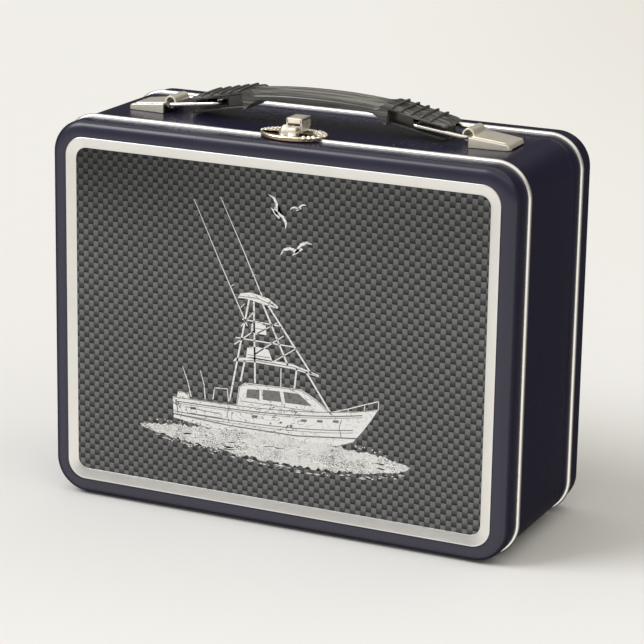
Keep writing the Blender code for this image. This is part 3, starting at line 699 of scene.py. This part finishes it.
sketch_hull()
sketch_cabin()
sketch_details()
sketch_sea()
gulls = Sketch(0.03)
sketch_gull(gulls, 0.2, 52.0, 15.5, -1.15)
sketch_gull(gulls, 9.6, 54.4, 8.0, 0.25)
sketch_gull(gulls, 9.0, 37.4, 15.5, 0.30)
gulls.done("etched_gulls", ART)


# handle brackets: a pressed hood with a raised field and a rolled barrel
BARREL_R = 2.6
BARREL_BORE = 1.9
BARREL_HALF = 6.0
BARREL_X = 66.0
BARREL_Z = 4.4
HOOD_IN = 67.5
HOOD_OUT = 84.6
HOOD_END = 2.2
FIELD_INSET = 2.1
PIVOT_RISE = 3.6
LINK_TIP = 43.0
LINK_TIP_RISE = 6.4
LINK_W = 16.0
LINK_BEND = 2.2
WIRE_R = 0.85


def ease(t):
    t = min(max(t, 0.0), 1.0)
    return t * t * (3 - 2 * t)


def hood_profile(x, shrink):
    """Half width and height of the hood at a distance from the middle of the case."""
    t = (x - HOOD_IN) / (HOOD_OUT - HOOD_IN)
    half = 9.5 - 1.2 * t - shrink
    high = 4.3 - 1.9 * t - shrink
    end = max(0.0, (x - (HOOD_OUT - HOOD_END)) / HOOD_END)
    half -= 2.0 * end ** 3
    high -= 1.7 * end ** 3
    return half, max(high, 0.45)


def hood_row(side, x, shrink):
    half, high = hood_profile(x, shrink)
    raised = 0.3 * (1 - ease((x - (HOOD_OUT - 3.2)) / 0.9)) * ease((x - HOOD_IN - 0.6) / 0.5)
    lip = min(0.32, high * 0.3)
    field = half - FIELD_INSET
    ys = [half, half, half - 0.04, half - 0.16, half - 0.4]
    ys += [field + 0.12, field - 0.12, field - 0.5]
    zs = [0.15] + [high - lip + dz for dz in (-0.2, -0.02, 0.1, 0.16)] + [high - 0.16] * 2
    zs[-1] += raised
    zs.append(zs[-1] + 0.02)
    ys += [half * 0.4, 0.0]
    zs += [zs[-1] + 0.03, zs[-1] + 0.04]
    pts = [(-y, z) for y, z in zip(ys, zs)] + [(y, z) for y, z in zip(ys[-2::-1], zs[-2::-1])]
    return [Vector((HANDLE_X + side * x, HANDLE_Y + y, TOP + z)) * MM for y, z in pts]


def hood(name, side, node):
    bm = bmesh.new()
    xs = [HOOD_IN + d for d in (0.0, 0.4, 0.75, 1.1, 4.0, 8.0, 11.5)]
    xs += [HOOD_OUT - d for d in (3.6, 3.2, 2.8, 2.3, 1.8, 1.2, 0.7, 0.3, 0.0)]
    outer = [hood_row(side, x, 0.0) for x in xs]
    inner = [hood_row(side, min(x, HOOD_OUT - 0.9), 0.75) for x in xs]
    grow(bm, [o + i[::-1] for o, i in zip(outer, inner)], False)
    rows = []
    for k in range(41):
        a = math.radians(-72 + 338 * k / 40)
        row = []
        for r, y in ((BARREL_R, -1), (BARREL_R, 1), (BARREL_BORE, 1), (BARREL_BORE, -1)):
            x = BARREL_X + r * math.cos(a)
            z = TOP + BARREL_Z + r * math.sin(a)
            row.append(Vector((HANDLE_X + side * x, HANDLE_Y + y * BARREL_HALF, z)) * MM)
        rows.append(row)
    grow(bm, rows, False)
    tie = []
    for dx, z in ((0.3, 3.4), (1.6, 3.6), (1.5, 4.25), (0.9, 4.6)):
        tie.append((HANDLE_X + side * (HOOD_IN + dx), z))
    rows = []
    for y in (-BARREL_HALF, BARREL_HALF):
        rows.append([Vector((x, HANDLE_Y + y, TOP + z)) * MM for x, z in tie])
    grow(bm, rows, False)
    put(name, bm, NICKEL, "case", (node,), sharp=28, bevel=0.12)


def link(name, side, node, body):
    a = Vector((BARREL_X, 0, PIVOT_RISE))
    b = Vector((LINK_TIP, 0, LINK_TIP_RISE))
    along = (b - a).normalized()
    flat = rounded((b - a).length, LINK_W, LINK_BEND, 0.0, 8)
    path = []
    for u, v in flat:
        p = (a + b) / 2 + along * u
        path.append((HANDLE_X + side * p.x, HANDLE_Y + v, TOP + p.z))
    put(name, tube(bmesh.new(), path, WIRE_R, 16, True), WIRE, body, (node,), sharp=70)


# grip: arched moulding with fluted centre, ribbed ends and slotted tongues
GRIP_END = 56.5
GRIP_HALF = 9.15
SHOULDER = 31.0
CROWN = 15.0
SHOULDER_RISE = 13.2
END_RISE = 7.9
ARCH = 10.0
SKIRT_LOW = 5.4
TONGUE_END = 0.7
TONGUE_HALF = 6.8
RIB_FIRST = 33.8
RIB_PITCH = 4.2
RIB_HALF = 9.2
SLOT_IN = 41.0
SLOT_OUT = 50.2


def grip_top(x):
    a = abs(x)
    if a <= SHOULDER:
        return CROWN - (CROWN - SHOULDER_RISE) * (a / SHOULDER) ** 2.2
    fall = (SHOULDER_RISE - END_RISE) / (GRIP_END - SHOULDER)
    return SHOULDER_RISE - fall * (a - SHOULDER)


def grip_low(x):
    a = abs(x)
    if a >= SHOULDER + 1.2:
        return grip_top(x) - 1.55
    return ARCH - (ARCH - SKIRT_LOW) * max(0.0, min(1.0, (a - 20.5) / 10.0)) ** 2.6


def grip_row(x):
    top = grip_top(x)
    end = max(0.0, (abs(x) - GRIP_END + 2.5) / 2.5)
    half = GRIP_HALF - 1.3 * end ** 3
    fluted = 1 - ease((abs(x) - 27.0) / 3.5)
    outer = []
    count = 48
    for i in range(count + 1):
        v = -1 + 2 * i / count
        crown = 0.22 * abs(v) ** 3 + 1.9 * fluted * abs(v) ** 2.4 + 0.35 * abs(v) ** 16
        groove = 0.0
        for c, depth in ((0.0, 0.5), (0.36, 0.75), (0.70, 0.8)):
            groove += depth * math.exp(-((abs(v) - c) / 0.11) ** 2)
        outer.append((half * v, top - crown - fluted * groove - 0.35 * end * end))
    low = min(grip_low(x), outer[0][1] - 0.5)
    wall = half - 1.8
    under = top - 1.3 - 0.15 * end
    inner = [(wall * (1 - i / 4), under - 0.35 * abs(1 - i / 4) ** 3) for i in range(9)]
    foot = min(low, under - 0.4)
    skirt = [(half + 0.02, outer[0][1] - 0.25), (half, low + 0.2), (half - 0.2, low)]
    skirt += [(wall + 0.2, foot), (wall, foot + 0.1)]
    pts = outer + skirt + inner + [(-y, z) for y, z in reversed(skirt)]
    return [grip_point(x, y, z) for y, z in pts]


def grip_point(x, y, z):
    return Vector((GRIP_X + x, HANDLE_Y + y, TOP + z)) * MM


def grip_body():
    xs = [i * 1.5 for i in range(20)] + [29.2, 30.0, 30.8, 31.6, 32.2, 32.25]
    xs += [34 + i * 3 for i in range(7)] + [GRIP_END - d for d in (2.2, 1.4, 0.7, 0.3, 0.0)]
    xs = [-x for x in reversed(xs[1:])] + xs
    put("grip_body", loft([grip_row(x) for x in xs]), FLUTED, "grip", ("handle_grip",), sharp=50)


def grip_ribs():
    ribs = bmesh.new()
    for side in (-1, 1):
        for k in range(5):
            x = RIB_FIRST + RIB_PITCH * k
            path = []
            size = []
            for i in range(33):
                v = -1 + i / 16
                crown = 0.22 * abs(v) ** 3 + 0.25 * abs(v) ** 16
                z = TOP + grip_top(x) - crown + 0.3
                path.append((GRIP_X + side * x, HANDLE_Y + RIB_HALF * v, z))
                size.append(0.55 - 0.25 * max(0.0, (abs(v) - 0.96) / 0.04) ** 2)
            tube(ribs, path, size, 12)
    put("grip_ribs", ribs, RIBS_WITH_PAINTED_HIGHLIGHT, "grip", (), sharp=60)


def tongue_low(x):
    """Height of the tongue's underside, which falls towards the grip's end."""
    fall = (TONGUE_END - SKIRT_LOW) / (GRIP_END - SHOULDER)
    return SKIRT_LOW + fall * (x - SHOULDER)


def tongue_plate(keel, side, x0, x1):
    spans = [x0 + (x1 - 1.2 - x0) * i / 10 for i in range(11)]
    ends = [(x1 - 0.7, 0.05), (x1 - 0.2, 0.3), (x1 + 0.15, 0.75), (x1 + 0.25, 1.5)]
    rows = []
    for x, pull in [(x, 0.0) for x in spans] + ends:
        half = TONGUE_HALF - pull * 1.6
        low_z = tongue_low(x)
        thick = 1.3 - 0.25 * min(pull, 1.0)
        ys = (-half, -half + 0.25, half - 0.25, half, half)
        ys += (half - 0.3, half - 1.2, 1.2 - half, 0.3 - half, -half)
        zs = (0.3, 0.0, 0.0, 0.3, thick - 0.15)
        zs += (thick, thick - 0.45, thick - 0.45, thick, thick - 0.15)
        rows.append([grip_point(side * x, y, low_z + dz) for y, dz in zip(ys, zs)])
    grow(keel, rows, False)


def tongue_block(keel, side, x0):
    rows = []
    for x, cut in ((x0 + 0.1, 0.0), (x0 + 1.9, 0.0), (x0 + 2.3, 0.35)):
        half = GRIP_HALF - 0.75 - cut
        z0 = tongue_low(x) + 0.1 + cut
        z1 = grip_top(x) - 1.1
        ys = (-half, -half + 0.3, half - 0.3, half, half, -half)
        zs = (z0 + 0.3, z0, z0, z0 + 0.3, z1, z1)
        rows.append([grip_point(side * x, y, z) for y, z in zip(ys, zs)])
    grow(keel, rows, False)


def tongue_walls(keel, side, x0, x1):
    """The web between tongue and top, open where the wire link floats."""

    def foot(a, b):
        return [(a, tongue_low(a) + 0.4), (b, tongue_low(b) + 0.4)]

    def head(a, b):
        return [(b, grip_top(b) - 1.1), (a, grip_top(a) - 1.1)]

    walls = [foot(a, b) + head(a, b) for a, b in ((x0 + 2.0, SLOT_IN), (SLOT_OUT, x1))]
    walls.append(foot(SLOT_IN, SLOT_OUT) + [(SLOT_OUT, 4.4), (SLOT_IN, 5.3)])
    walls.append([(SLOT_IN, 7.7), (46.4, 7.5), (SLOT_OUT, 6.8)] + head(SLOT_IN, SLOT_OUT))
    for pts in walls:
        rows = [[grip_point(side * x, y, z) for x, z in pts] for y in (-4.0, 4.0)]
        grow(keel, rows, False)


def grip_tongues():
    keel = bmesh.new()
    x0 = SHOULDER - 1.1
    x1 = GRIP_END - 0.6
    for side in (-1, 1):
        tongue_plate(keel, side, x0, x1)
        tongue_block(keel, side, x0)
        tongue_walls(keel, side, x0, x1)
    put("grip_tongues", keel, GRIP, "grip", (), sharp=40, bevel=0.12)


# latch: dished oval split over the rim, beaded at its ends, with a hooked cap
LATCH_Y = -26.5
LATCH_X = middle("latch_lever")[0]
LATCH_A = 14.0
LATCH_B = 9.8
SPLIT = 0.25


def oval(front_half, shrink, rise, steps=64):
    limit = FRONT_BEAD_Y - SPLIT if front_half else FRONT_BEAD_Y + SPLIT
    a = LATCH_A - shrink
    b = LATCH_B - shrink
    cut = math.asin((limit - LATCH_Y) / b)
    start, stop = (math.pi - cut, 2 * math.pi + cut) if front_half else (cut, math.pi - cut)
    row = []
    for i in range(steps + 1):
        t = start + (stop - start) * i / steps
        x, y = a * math.cos(t), LATCH_Y + b * math.sin(t)
        near = abs(y - FRONT_BEAD_Y) < BEAD_R + 0.2
        z = max(rise, 1.12) if near else rise
        row.append(Vector((LATCH_X + x, y, TOP + z)) * MM)
    return row


# the dish: distance in from the oval's edge and height over the case's top
DISH = (
    (0.35, 0.3), (0.15, 0.5), (0.15, 1.35), (0.3, 1.8), (0.65, 2.08), (1.1, 2.0),
    (1.45, 1.7), (2.0, 1.42), (3.2, 1.36), (4.5, 1.34))
# rows of beading: distance in, radius, how many in a full turn, height
STUD_ROWS = ((0.5, 0.95, 34, 1.55), (2.1, 0.85, 31, 1.75), (3.6, 0.6, 30, 1.45))


def studs(bm, front_half):
    """Cast beading round the two ends of the oval, in staggered rows."""
    for row, (inset, size, count, lift) in enumerate(STUD_ROWS):
        for i in range(count):
            t = 2 * math.pi * (i + 0.5 * row) / count
            x = (LATCH_A - inset) * math.cos(t)
            y = LATCH_Y + (LATCH_B - inset) * math.sin(t)
            if (y < FRONT_BEAD_Y) != front_half or abs(y - FRONT_BEAD_Y) < size + SPLIT:
                continue
            if abs(x) < (0.45 if x > 0 else 0.40) * LATCH_A or (front_half and x < 0):
                continue
            turn = Matrix.Translation(Vector((LATCH_X + x, y, TOP + lift)) * MM)
            turn = turn @ Matrix.Rotation(t, 4, "Z") @ Matrix.Diagonal((1.0, 1.12, 0.85, 1.0))
            bmesh.ops.create_icosphere(bm, subdivisions=2, radius=size * MM, matrix=turn)


def lobe(bm, x, y, base, top, rx, ry, power=1.0):
    rows = []
    for i in range(13):
        a = math.radians(90 * i / 12)
        r = max(math.cos(a), 0.02) ** (1 / power)
        z = base + (top - base) * math.sin(a) ** (1 / power)
        row = []
        for k in range(32):
            t = 2 * math.pi * k / 32
            c, n = math.cos(t), math.sin(t)
            px = math.copysign(abs(c) ** (1 / power), c)
            py = math.copysign(abs(n) ** (1 / power), n)
            row.append(Vector((LATCH_X + x + rx * r * px, y + ry * r * py, TOP + z)) * MM)
        rows.append(row)
    grow(bm, rows, False)


CAP_FRONT = -26.1
CAP_REAR = -17.35
CAP_LOW = 1.8
CAP_TOP = 7.55
CAP_HALF = 3.45
CAP_HOLE_R = 0.95
PIN_Y = -20.2
PIN_Z = 5.0
PIN_R = 0.55
EAR_R = 1.58


def cap_side(shrink):
    y0 = CAP_FRONT + shrink
    y1 = CAP_REAR - shrink
    z1 = CAP_TOP - shrink
    pts = [(y0, CAP_LOW), (y0 + 1.2, CAP_LOW + 0.35), (PIN_Y - 0.8, CAP_LOW + 0.35)]
    for deg in (-80, -62, -44, -26, -10):
        a = math.radians(deg)
        pts.append((PIN_Y + (y1 - PIN_Y) * math.cos(a), PIN_Z + 0.2 + 2.75 * math.sin(a)))
    for deg in (0, 30, 60, 90):
        a = math.radians(deg)
        pts.append((y1 - 0.55 + 0.55 * math.cos(a), z1 - 0.55 + 0.55 * math.sin(a)))
    for deg in (90, 120, 150, 180):
        a = math.radians(deg)
        pts.append((y0 + 0.55 + 0.55 * math.cos(a), z1 - 0.55 + 0.55 * math.sin(a)))
    return pts


def cap_row(x, points):
    return [Vector((LATCH_X + x, y, TOP + z)) * MM for y, z in points]


def lever():
    bm = bmesh.new()
    for side in (-1, 1):
        levels = ((0.0, 0.22), (0.12, 0.06), (0.3, 0.0), (0.75, 0.0))
        rows = [cap_row(side * (CAP_HALF - d), cap_side(shrink)) for d, shrink in levels]
        spots = []
        for y, z in cap_side(0.0):
            a = math.atan2(z - PIN_Z, y - PIN_Y - 0.6)
            y = PIN_Y - 0.6 + CAP_HOLE_R * math.cos(a)
            spots.append((y, PIN_Z + CAP_HOLE_R * math.sin(a)))
        hole = [cap_row(side * x, spots) for x in (CAP_HALF - 0.75, CAP_HALF)]
        grow(bm, rows + hole, True)
    roof = []
    across = ((-1, 0.28), (-0.965, 0.08), (-0.9, 0.0), (0.9, 0.0), (0.965, 0.08), (1, 0.28))
    for x, shrink in across:
        out = [p for p in cap_side(shrink) if p[1] > 6.2]
        inner = [p for p in cap_side(shrink + 0.6) if p[1] > 6.0]
        lip = 5.55
        out = [(out[0][0], lip + 0.35)] + out + [(out[-1][0], lip)]
        inner = [(inner[0][0], lip + 0.35)] + inner + [(inner[-1][0], lip)]
        roof.append(cap_row(x * CAP_HALF, out + inner[::-1]))
    grow(bm, roof, False)
    for y, z, r in ((CAP_FRONT + 1.3, 3.9, 0.38), (CAP_FRONT + 0.33, 5.6, 0.32)):
        ends = [(LATCH_X + e * (CAP_HALF - 0.4), y, TOP + z) for e in (-1, 1)]
        tube(bm, ends, r, 12)
    put("latch_cap", bm, NICKEL, "lever", ("latch_lever",), sharp=32, bevel=0.06)
    pin = bmesh.new()
    half = CAP_HALF - 1.1
    ends = [(LATCH_X + e * half, PIN_Y, TOP + PIN_Z) for e in (-1, 1)]
    tube(pin, ends, PIN_R, 16)
    put("latch_pin", pin, STEEL, "case", ("latch_pivot_pin",))


def latch():
    for name, front_half, body, node in (
        ("latch_rear_plate", False, "case", "latch_base_plate"),
        ("latch_front_plate", True, "lid", "latch_keeper_plate"),
    ):
        bm = loft([oval(front_half, inset, rise) for inset, rise in DISH])
        studs(bm, front_half)
        if front_half:
            lobe(bm, -1.6, -30.3, 1.2, 5.8, 2.7, 2.7)
            lobe(bm, 2.0, -30.6, 1.2, 5.2, 2.1, 2.5, 1.9)
        else:
            for side in (-1, 1):
                ear = [(-21.7, 1.2), (-20.4, 1.2), (-19.25, 3.5), (-18.62, 5.0)]
                for deg in (20, 45, 70, 90, 110, 135, 160, 180):
                    a = math.radians(deg)
                    ear.append((PIN_Y + EAR_R * math.cos(a), PIN_Z + EAR_R * math.sin(a)))
                rows = [cap_row(side * x, ear) for x in (1.5, 2.3)]
                grow(bm, rows, False)
        put(name, bm, CAST, body, (node,), sharp=38)


KNUCKLES = 9
KNUCKLE_R = 1.15
KNUCKLE_BORE = 0.68
CASE_REACH = 9.0
LID_REACH = 5.4


def hinge(name, odd, side, body, node):
    """A strip of steel with rolled knuckles on every other ninth of the pin."""
    bm = bmesh.new()
    pitch = 2 * HINGE_HALF / KNUCKLES
    reach = LID_REACH if side < 0 else CASE_REACH
    y0 = FRONT_BEAD_Y
    near = y0 + side * (BEAD_R + 0.3)
    far = y0 + side * (BEAD_R + reach)
    z0 = HINGE_Z - 1.05
    rows = []
    for y, drop in ((near, 0.0), (far - side * 0.3, 0.0), (far, 0.15)):
        pts = [(-HINGE_HALF + drop, z0 + drop), (HINGE_HALF - drop, z0 + drop)]
        pts += [(HINGE_HALF - drop, z0 + 0.55 - drop), (-HINGE_HALF + drop, z0 + 0.55 - drop)]
        rows.append([Vector((x, y, z)) * MM for x, z in pts])
    grow(bm, rows, False)
    for i in range(odd, KNUCKLES, 2):
        x0 = -HINGE_HALF + i * pitch + 0.15
        x1 = x0 + pitch - 0.3
        rows = []
        for k in range(25):
            a = math.radians(-90 + side * 320 * k / 24)
            row = []
            for r, x in ((KNUCKLE_R, x0), (KNUCKLE_R, x1), (KNUCKLE_BORE, x1), (KNUCKLE_BORE, x0)):
                row.append(Vector((x, y0 - r * math.cos(a), HINGE_Z + r * math.sin(a))) * MM)
            rows.append(row)
        grow(bm, rows, False)
        tab = [(x0, z0), (x1, z0), (x1, z0 + 0.45), (x0, z0 + 0.45)]
        rows = []
        for y in (y0 + side * 0.3, near + side * 0.2):
            rows.append([Vector((x, y, z)) * MM for x, z in tab])
        grow(bm, rows, False)
    for i in range(KNUCKLES):
        x = -HINGE_HALF + (i + 0.5) * pitch
        y = (near + far) / 2
        rows = []
        for r, z in ((0.05, -0.02), (0.55, 0.0), (0.8, 0.06), (0.85, 0.3)):
            row = []
            for k in range(16):
                t = 2 * math.pi * k / 16
                row.append(Vector((x + r * math.cos(t), y + r * math.sin(t), z0 + z)) * MM)
            rows.append(row)
        grow(bm, rows, False)
    put(name, bm, STEEL, body, (node,), sharp=35)


hinge("case_hinge", 0, 1, "case", "body_hinge_leaf")
hinge("lid_hinge_strip", 1, -1, "lid", "lid_hinge_leaf")
hood("left_hood", -1, "left_handle_bracket")
hood("right_hood", 1, "right_handle_bracket")
link("left_link_wire", -1, "left_handle_link", "left_link")
link("right_link_wire", 1, "right_handle_link", "right_link")
grip_body()
grip_ribs()
grip_tongues()
latch()
lever()


# the one CAD node that still shows gets its finish
pin_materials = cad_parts["hinge_pin"].data.materials
pin_materials.clear()
pin_materials.append(STEEL)


# floor, light and camera
# the world's levels: low in front, at the horizon, overhead, to the right, and everywhere
LOW_FRONT = 0.82
HORIZON = 0.42
OVERHEAD = 0.86
RIGHT_GLOW = 0.22
AMBIENT = 0.055

VIEW_AZIMUTH = 24.83
VIEW_ELEVATION = 15.91
VIEW_ROLL = 0.98
VIEW_DISTANCE = 1.06
VIEW_AIM = Vector((0.0207, -0.0402, 0.0900))
VIEW_LENS = 150.0
# the floor's tone near the case, its painted light in front of it, and its painted shade far behind
# to the right
FLOOR_TONE = (0.765, 0.765, 0.760, 1.0)
FLOOR_PAINTED_LIGHT = (0.820, 0.825, 0.830, 1.0)
FLOOR_PAINTED_SHADE = (0.715, 0.705, 0.675, 1.0)


def stage_floor():
    """A pale floor with painted light in front of the case and painted shade far behind it to the
    right, laid out along the camera's azimuth and fixed to the floor.
    """
    bm = bmesh.new()
    bmesh.ops.create_grid(bm, x_segments=1, y_segments=1, size=8.0)
    mesh = bpy.data.meshes.new("floor")
    bm.to_mesh(mesh)
    bm.free()
    ob = bpy.data.objects.new("floor", mesh)
    bpy.context.scene.collection.objects.link(ob)
    ob.location.z = cad_low[2]
    g = Surface("studio_floor", FLOOR_TONE, 0.0, 0.8, 0.1)
    x, y, _ = g.spot()
    c = math.cos(math.radians(VIEW_AZIMUTH))
    n = math.sin(math.radians(VIEW_AZIMUTH))
    depth = g.math("SUBTRACT", g.math("MULTIPLY", y, c), g.math("MULTIPLY", x, n))
    across = g.math("ADD", g.math("MULTIPLY", x, c), g.math("MULTIPLY", y, n))
    # near is painted light in front of the case; far is painted shade behind it to the right
    near = g.ramp(depth, -0.02, -0.30, 0.0, 1.0, True)
    far = g.ramp(depth, 0.1, 1.2, 0.0, 1.0, True)
    far = g.math("MULTIPLY", far, g.ramp(across, 0.0, 0.35, 0.0, 1.0, True))
    tone = g.mix(g.noise(0.7, 1.0), FLOOR_TONE, shaded(FLOOR_TONE, 1.01))
    tone = g.mix(near, tone, FLOOR_PAINTED_LIGHT)
    g.set("Base Color", g.mix(far, tone, FLOOR_PAINTED_SHADE))
    mesh.materials.append(g.mat)
    ob.visible_glossy = False


def soft_sun(name, azimuth, elevation, spread, strength, color):
    data = bpy.data.lights.new(name, "SUN")
    data.angle = math.radians(spread)
    data.energy = strength
    data.color = color
    ob = bpy.data.objects.new(name, data)
    a, e = math.radians(azimuth), math.radians(elevation)
    spot = Vector((math.sin(a) * math.cos(e), -math.cos(a) * math.cos(e), math.sin(e)))
    ob.location = spot * 3.0
    ob.rotation_euler = spot.to_track_quat("Z", "Y").to_euler()
    bpy.context.scene.collection.objects.link(ob)


def studio_world():
    """Soft light by direction: bright overhead and low in front, dim behind."""
    world = bpy.data.worlds.new("studio")
    world.use_nodes = True
    tree = world.node_tree
    g = Graph(tree)
    way = g.put("SeparateXYZ", {0: g.put("TexCoord", output=0)})
    y = way.node.outputs[1]
    z = way.node.outputs[2]
    front = g.ramp(y, 0.15, -0.70, 0.0, 1.0, True)
    below = g.ramp(z, 0.12, -0.20, 0.0, 1.0, True)
    above = g.ramp(z, 0.40, 0.72, 0.0, 1.0, True)
    right = g.ramp(way, 0.45, 0.95, 0.0, 1.0, True)
    level = g.math("MULTIPLY", g.math("MULTIPLY", front, below), LOW_FRONT)
    level = g.math("ADD", level, g.math("MULTIPLY", front, HORIZON))
    level = g.math("ADD", level, g.math("MULTIPLY", above, OVERHEAD))
    level = g.math("ADD", level, g.math("MULTIPLY", right, RIGHT_GLOW))
    level = g.math("ADD", level, AMBIENT)
    back = tree.nodes["Background"]
    back.inputs["Color"].default_value = (1.0, 0.955, 0.870, 1.0)
    tree.links.new(level, back.inputs["Strength"])
    bpy.context.scene.world = world


def add_camera():
    data = bpy.data.cameras.new("camera")
    data.lens = VIEW_LENS
    data.sensor_width = 36.0
    data.clip_end = 40.0
    ob = bpy.data.objects.new("camera", data)
    a, e = math.radians(VIEW_AZIMUTH), math.radians(VIEW_ELEVATION)
    back = Vector((math.sin(a) * math.cos(e), -math.cos(a) * math.cos(e), math.sin(e)))
    ob.location = VIEW_AIM + back * VIEW_DISTANCE
    level = back.to_track_quat("Z", "Y")
    roll = Matrix.Rotation(math.radians(VIEW_ROLL), 3, back)
    ob.rotation_euler = (roll @ level.to_matrix()).to_euler()
    bpy.context.scene.collection.objects.link(ob)
    bpy.context.scene.camera = ob


stage_floor()
soft_sun("key", -54, 42, 34, 1.75, (0.985, 0.995, 1.035))
studio_world()
bpy.context.scene.view_settings.view_transform = "Standard"
add_camera()
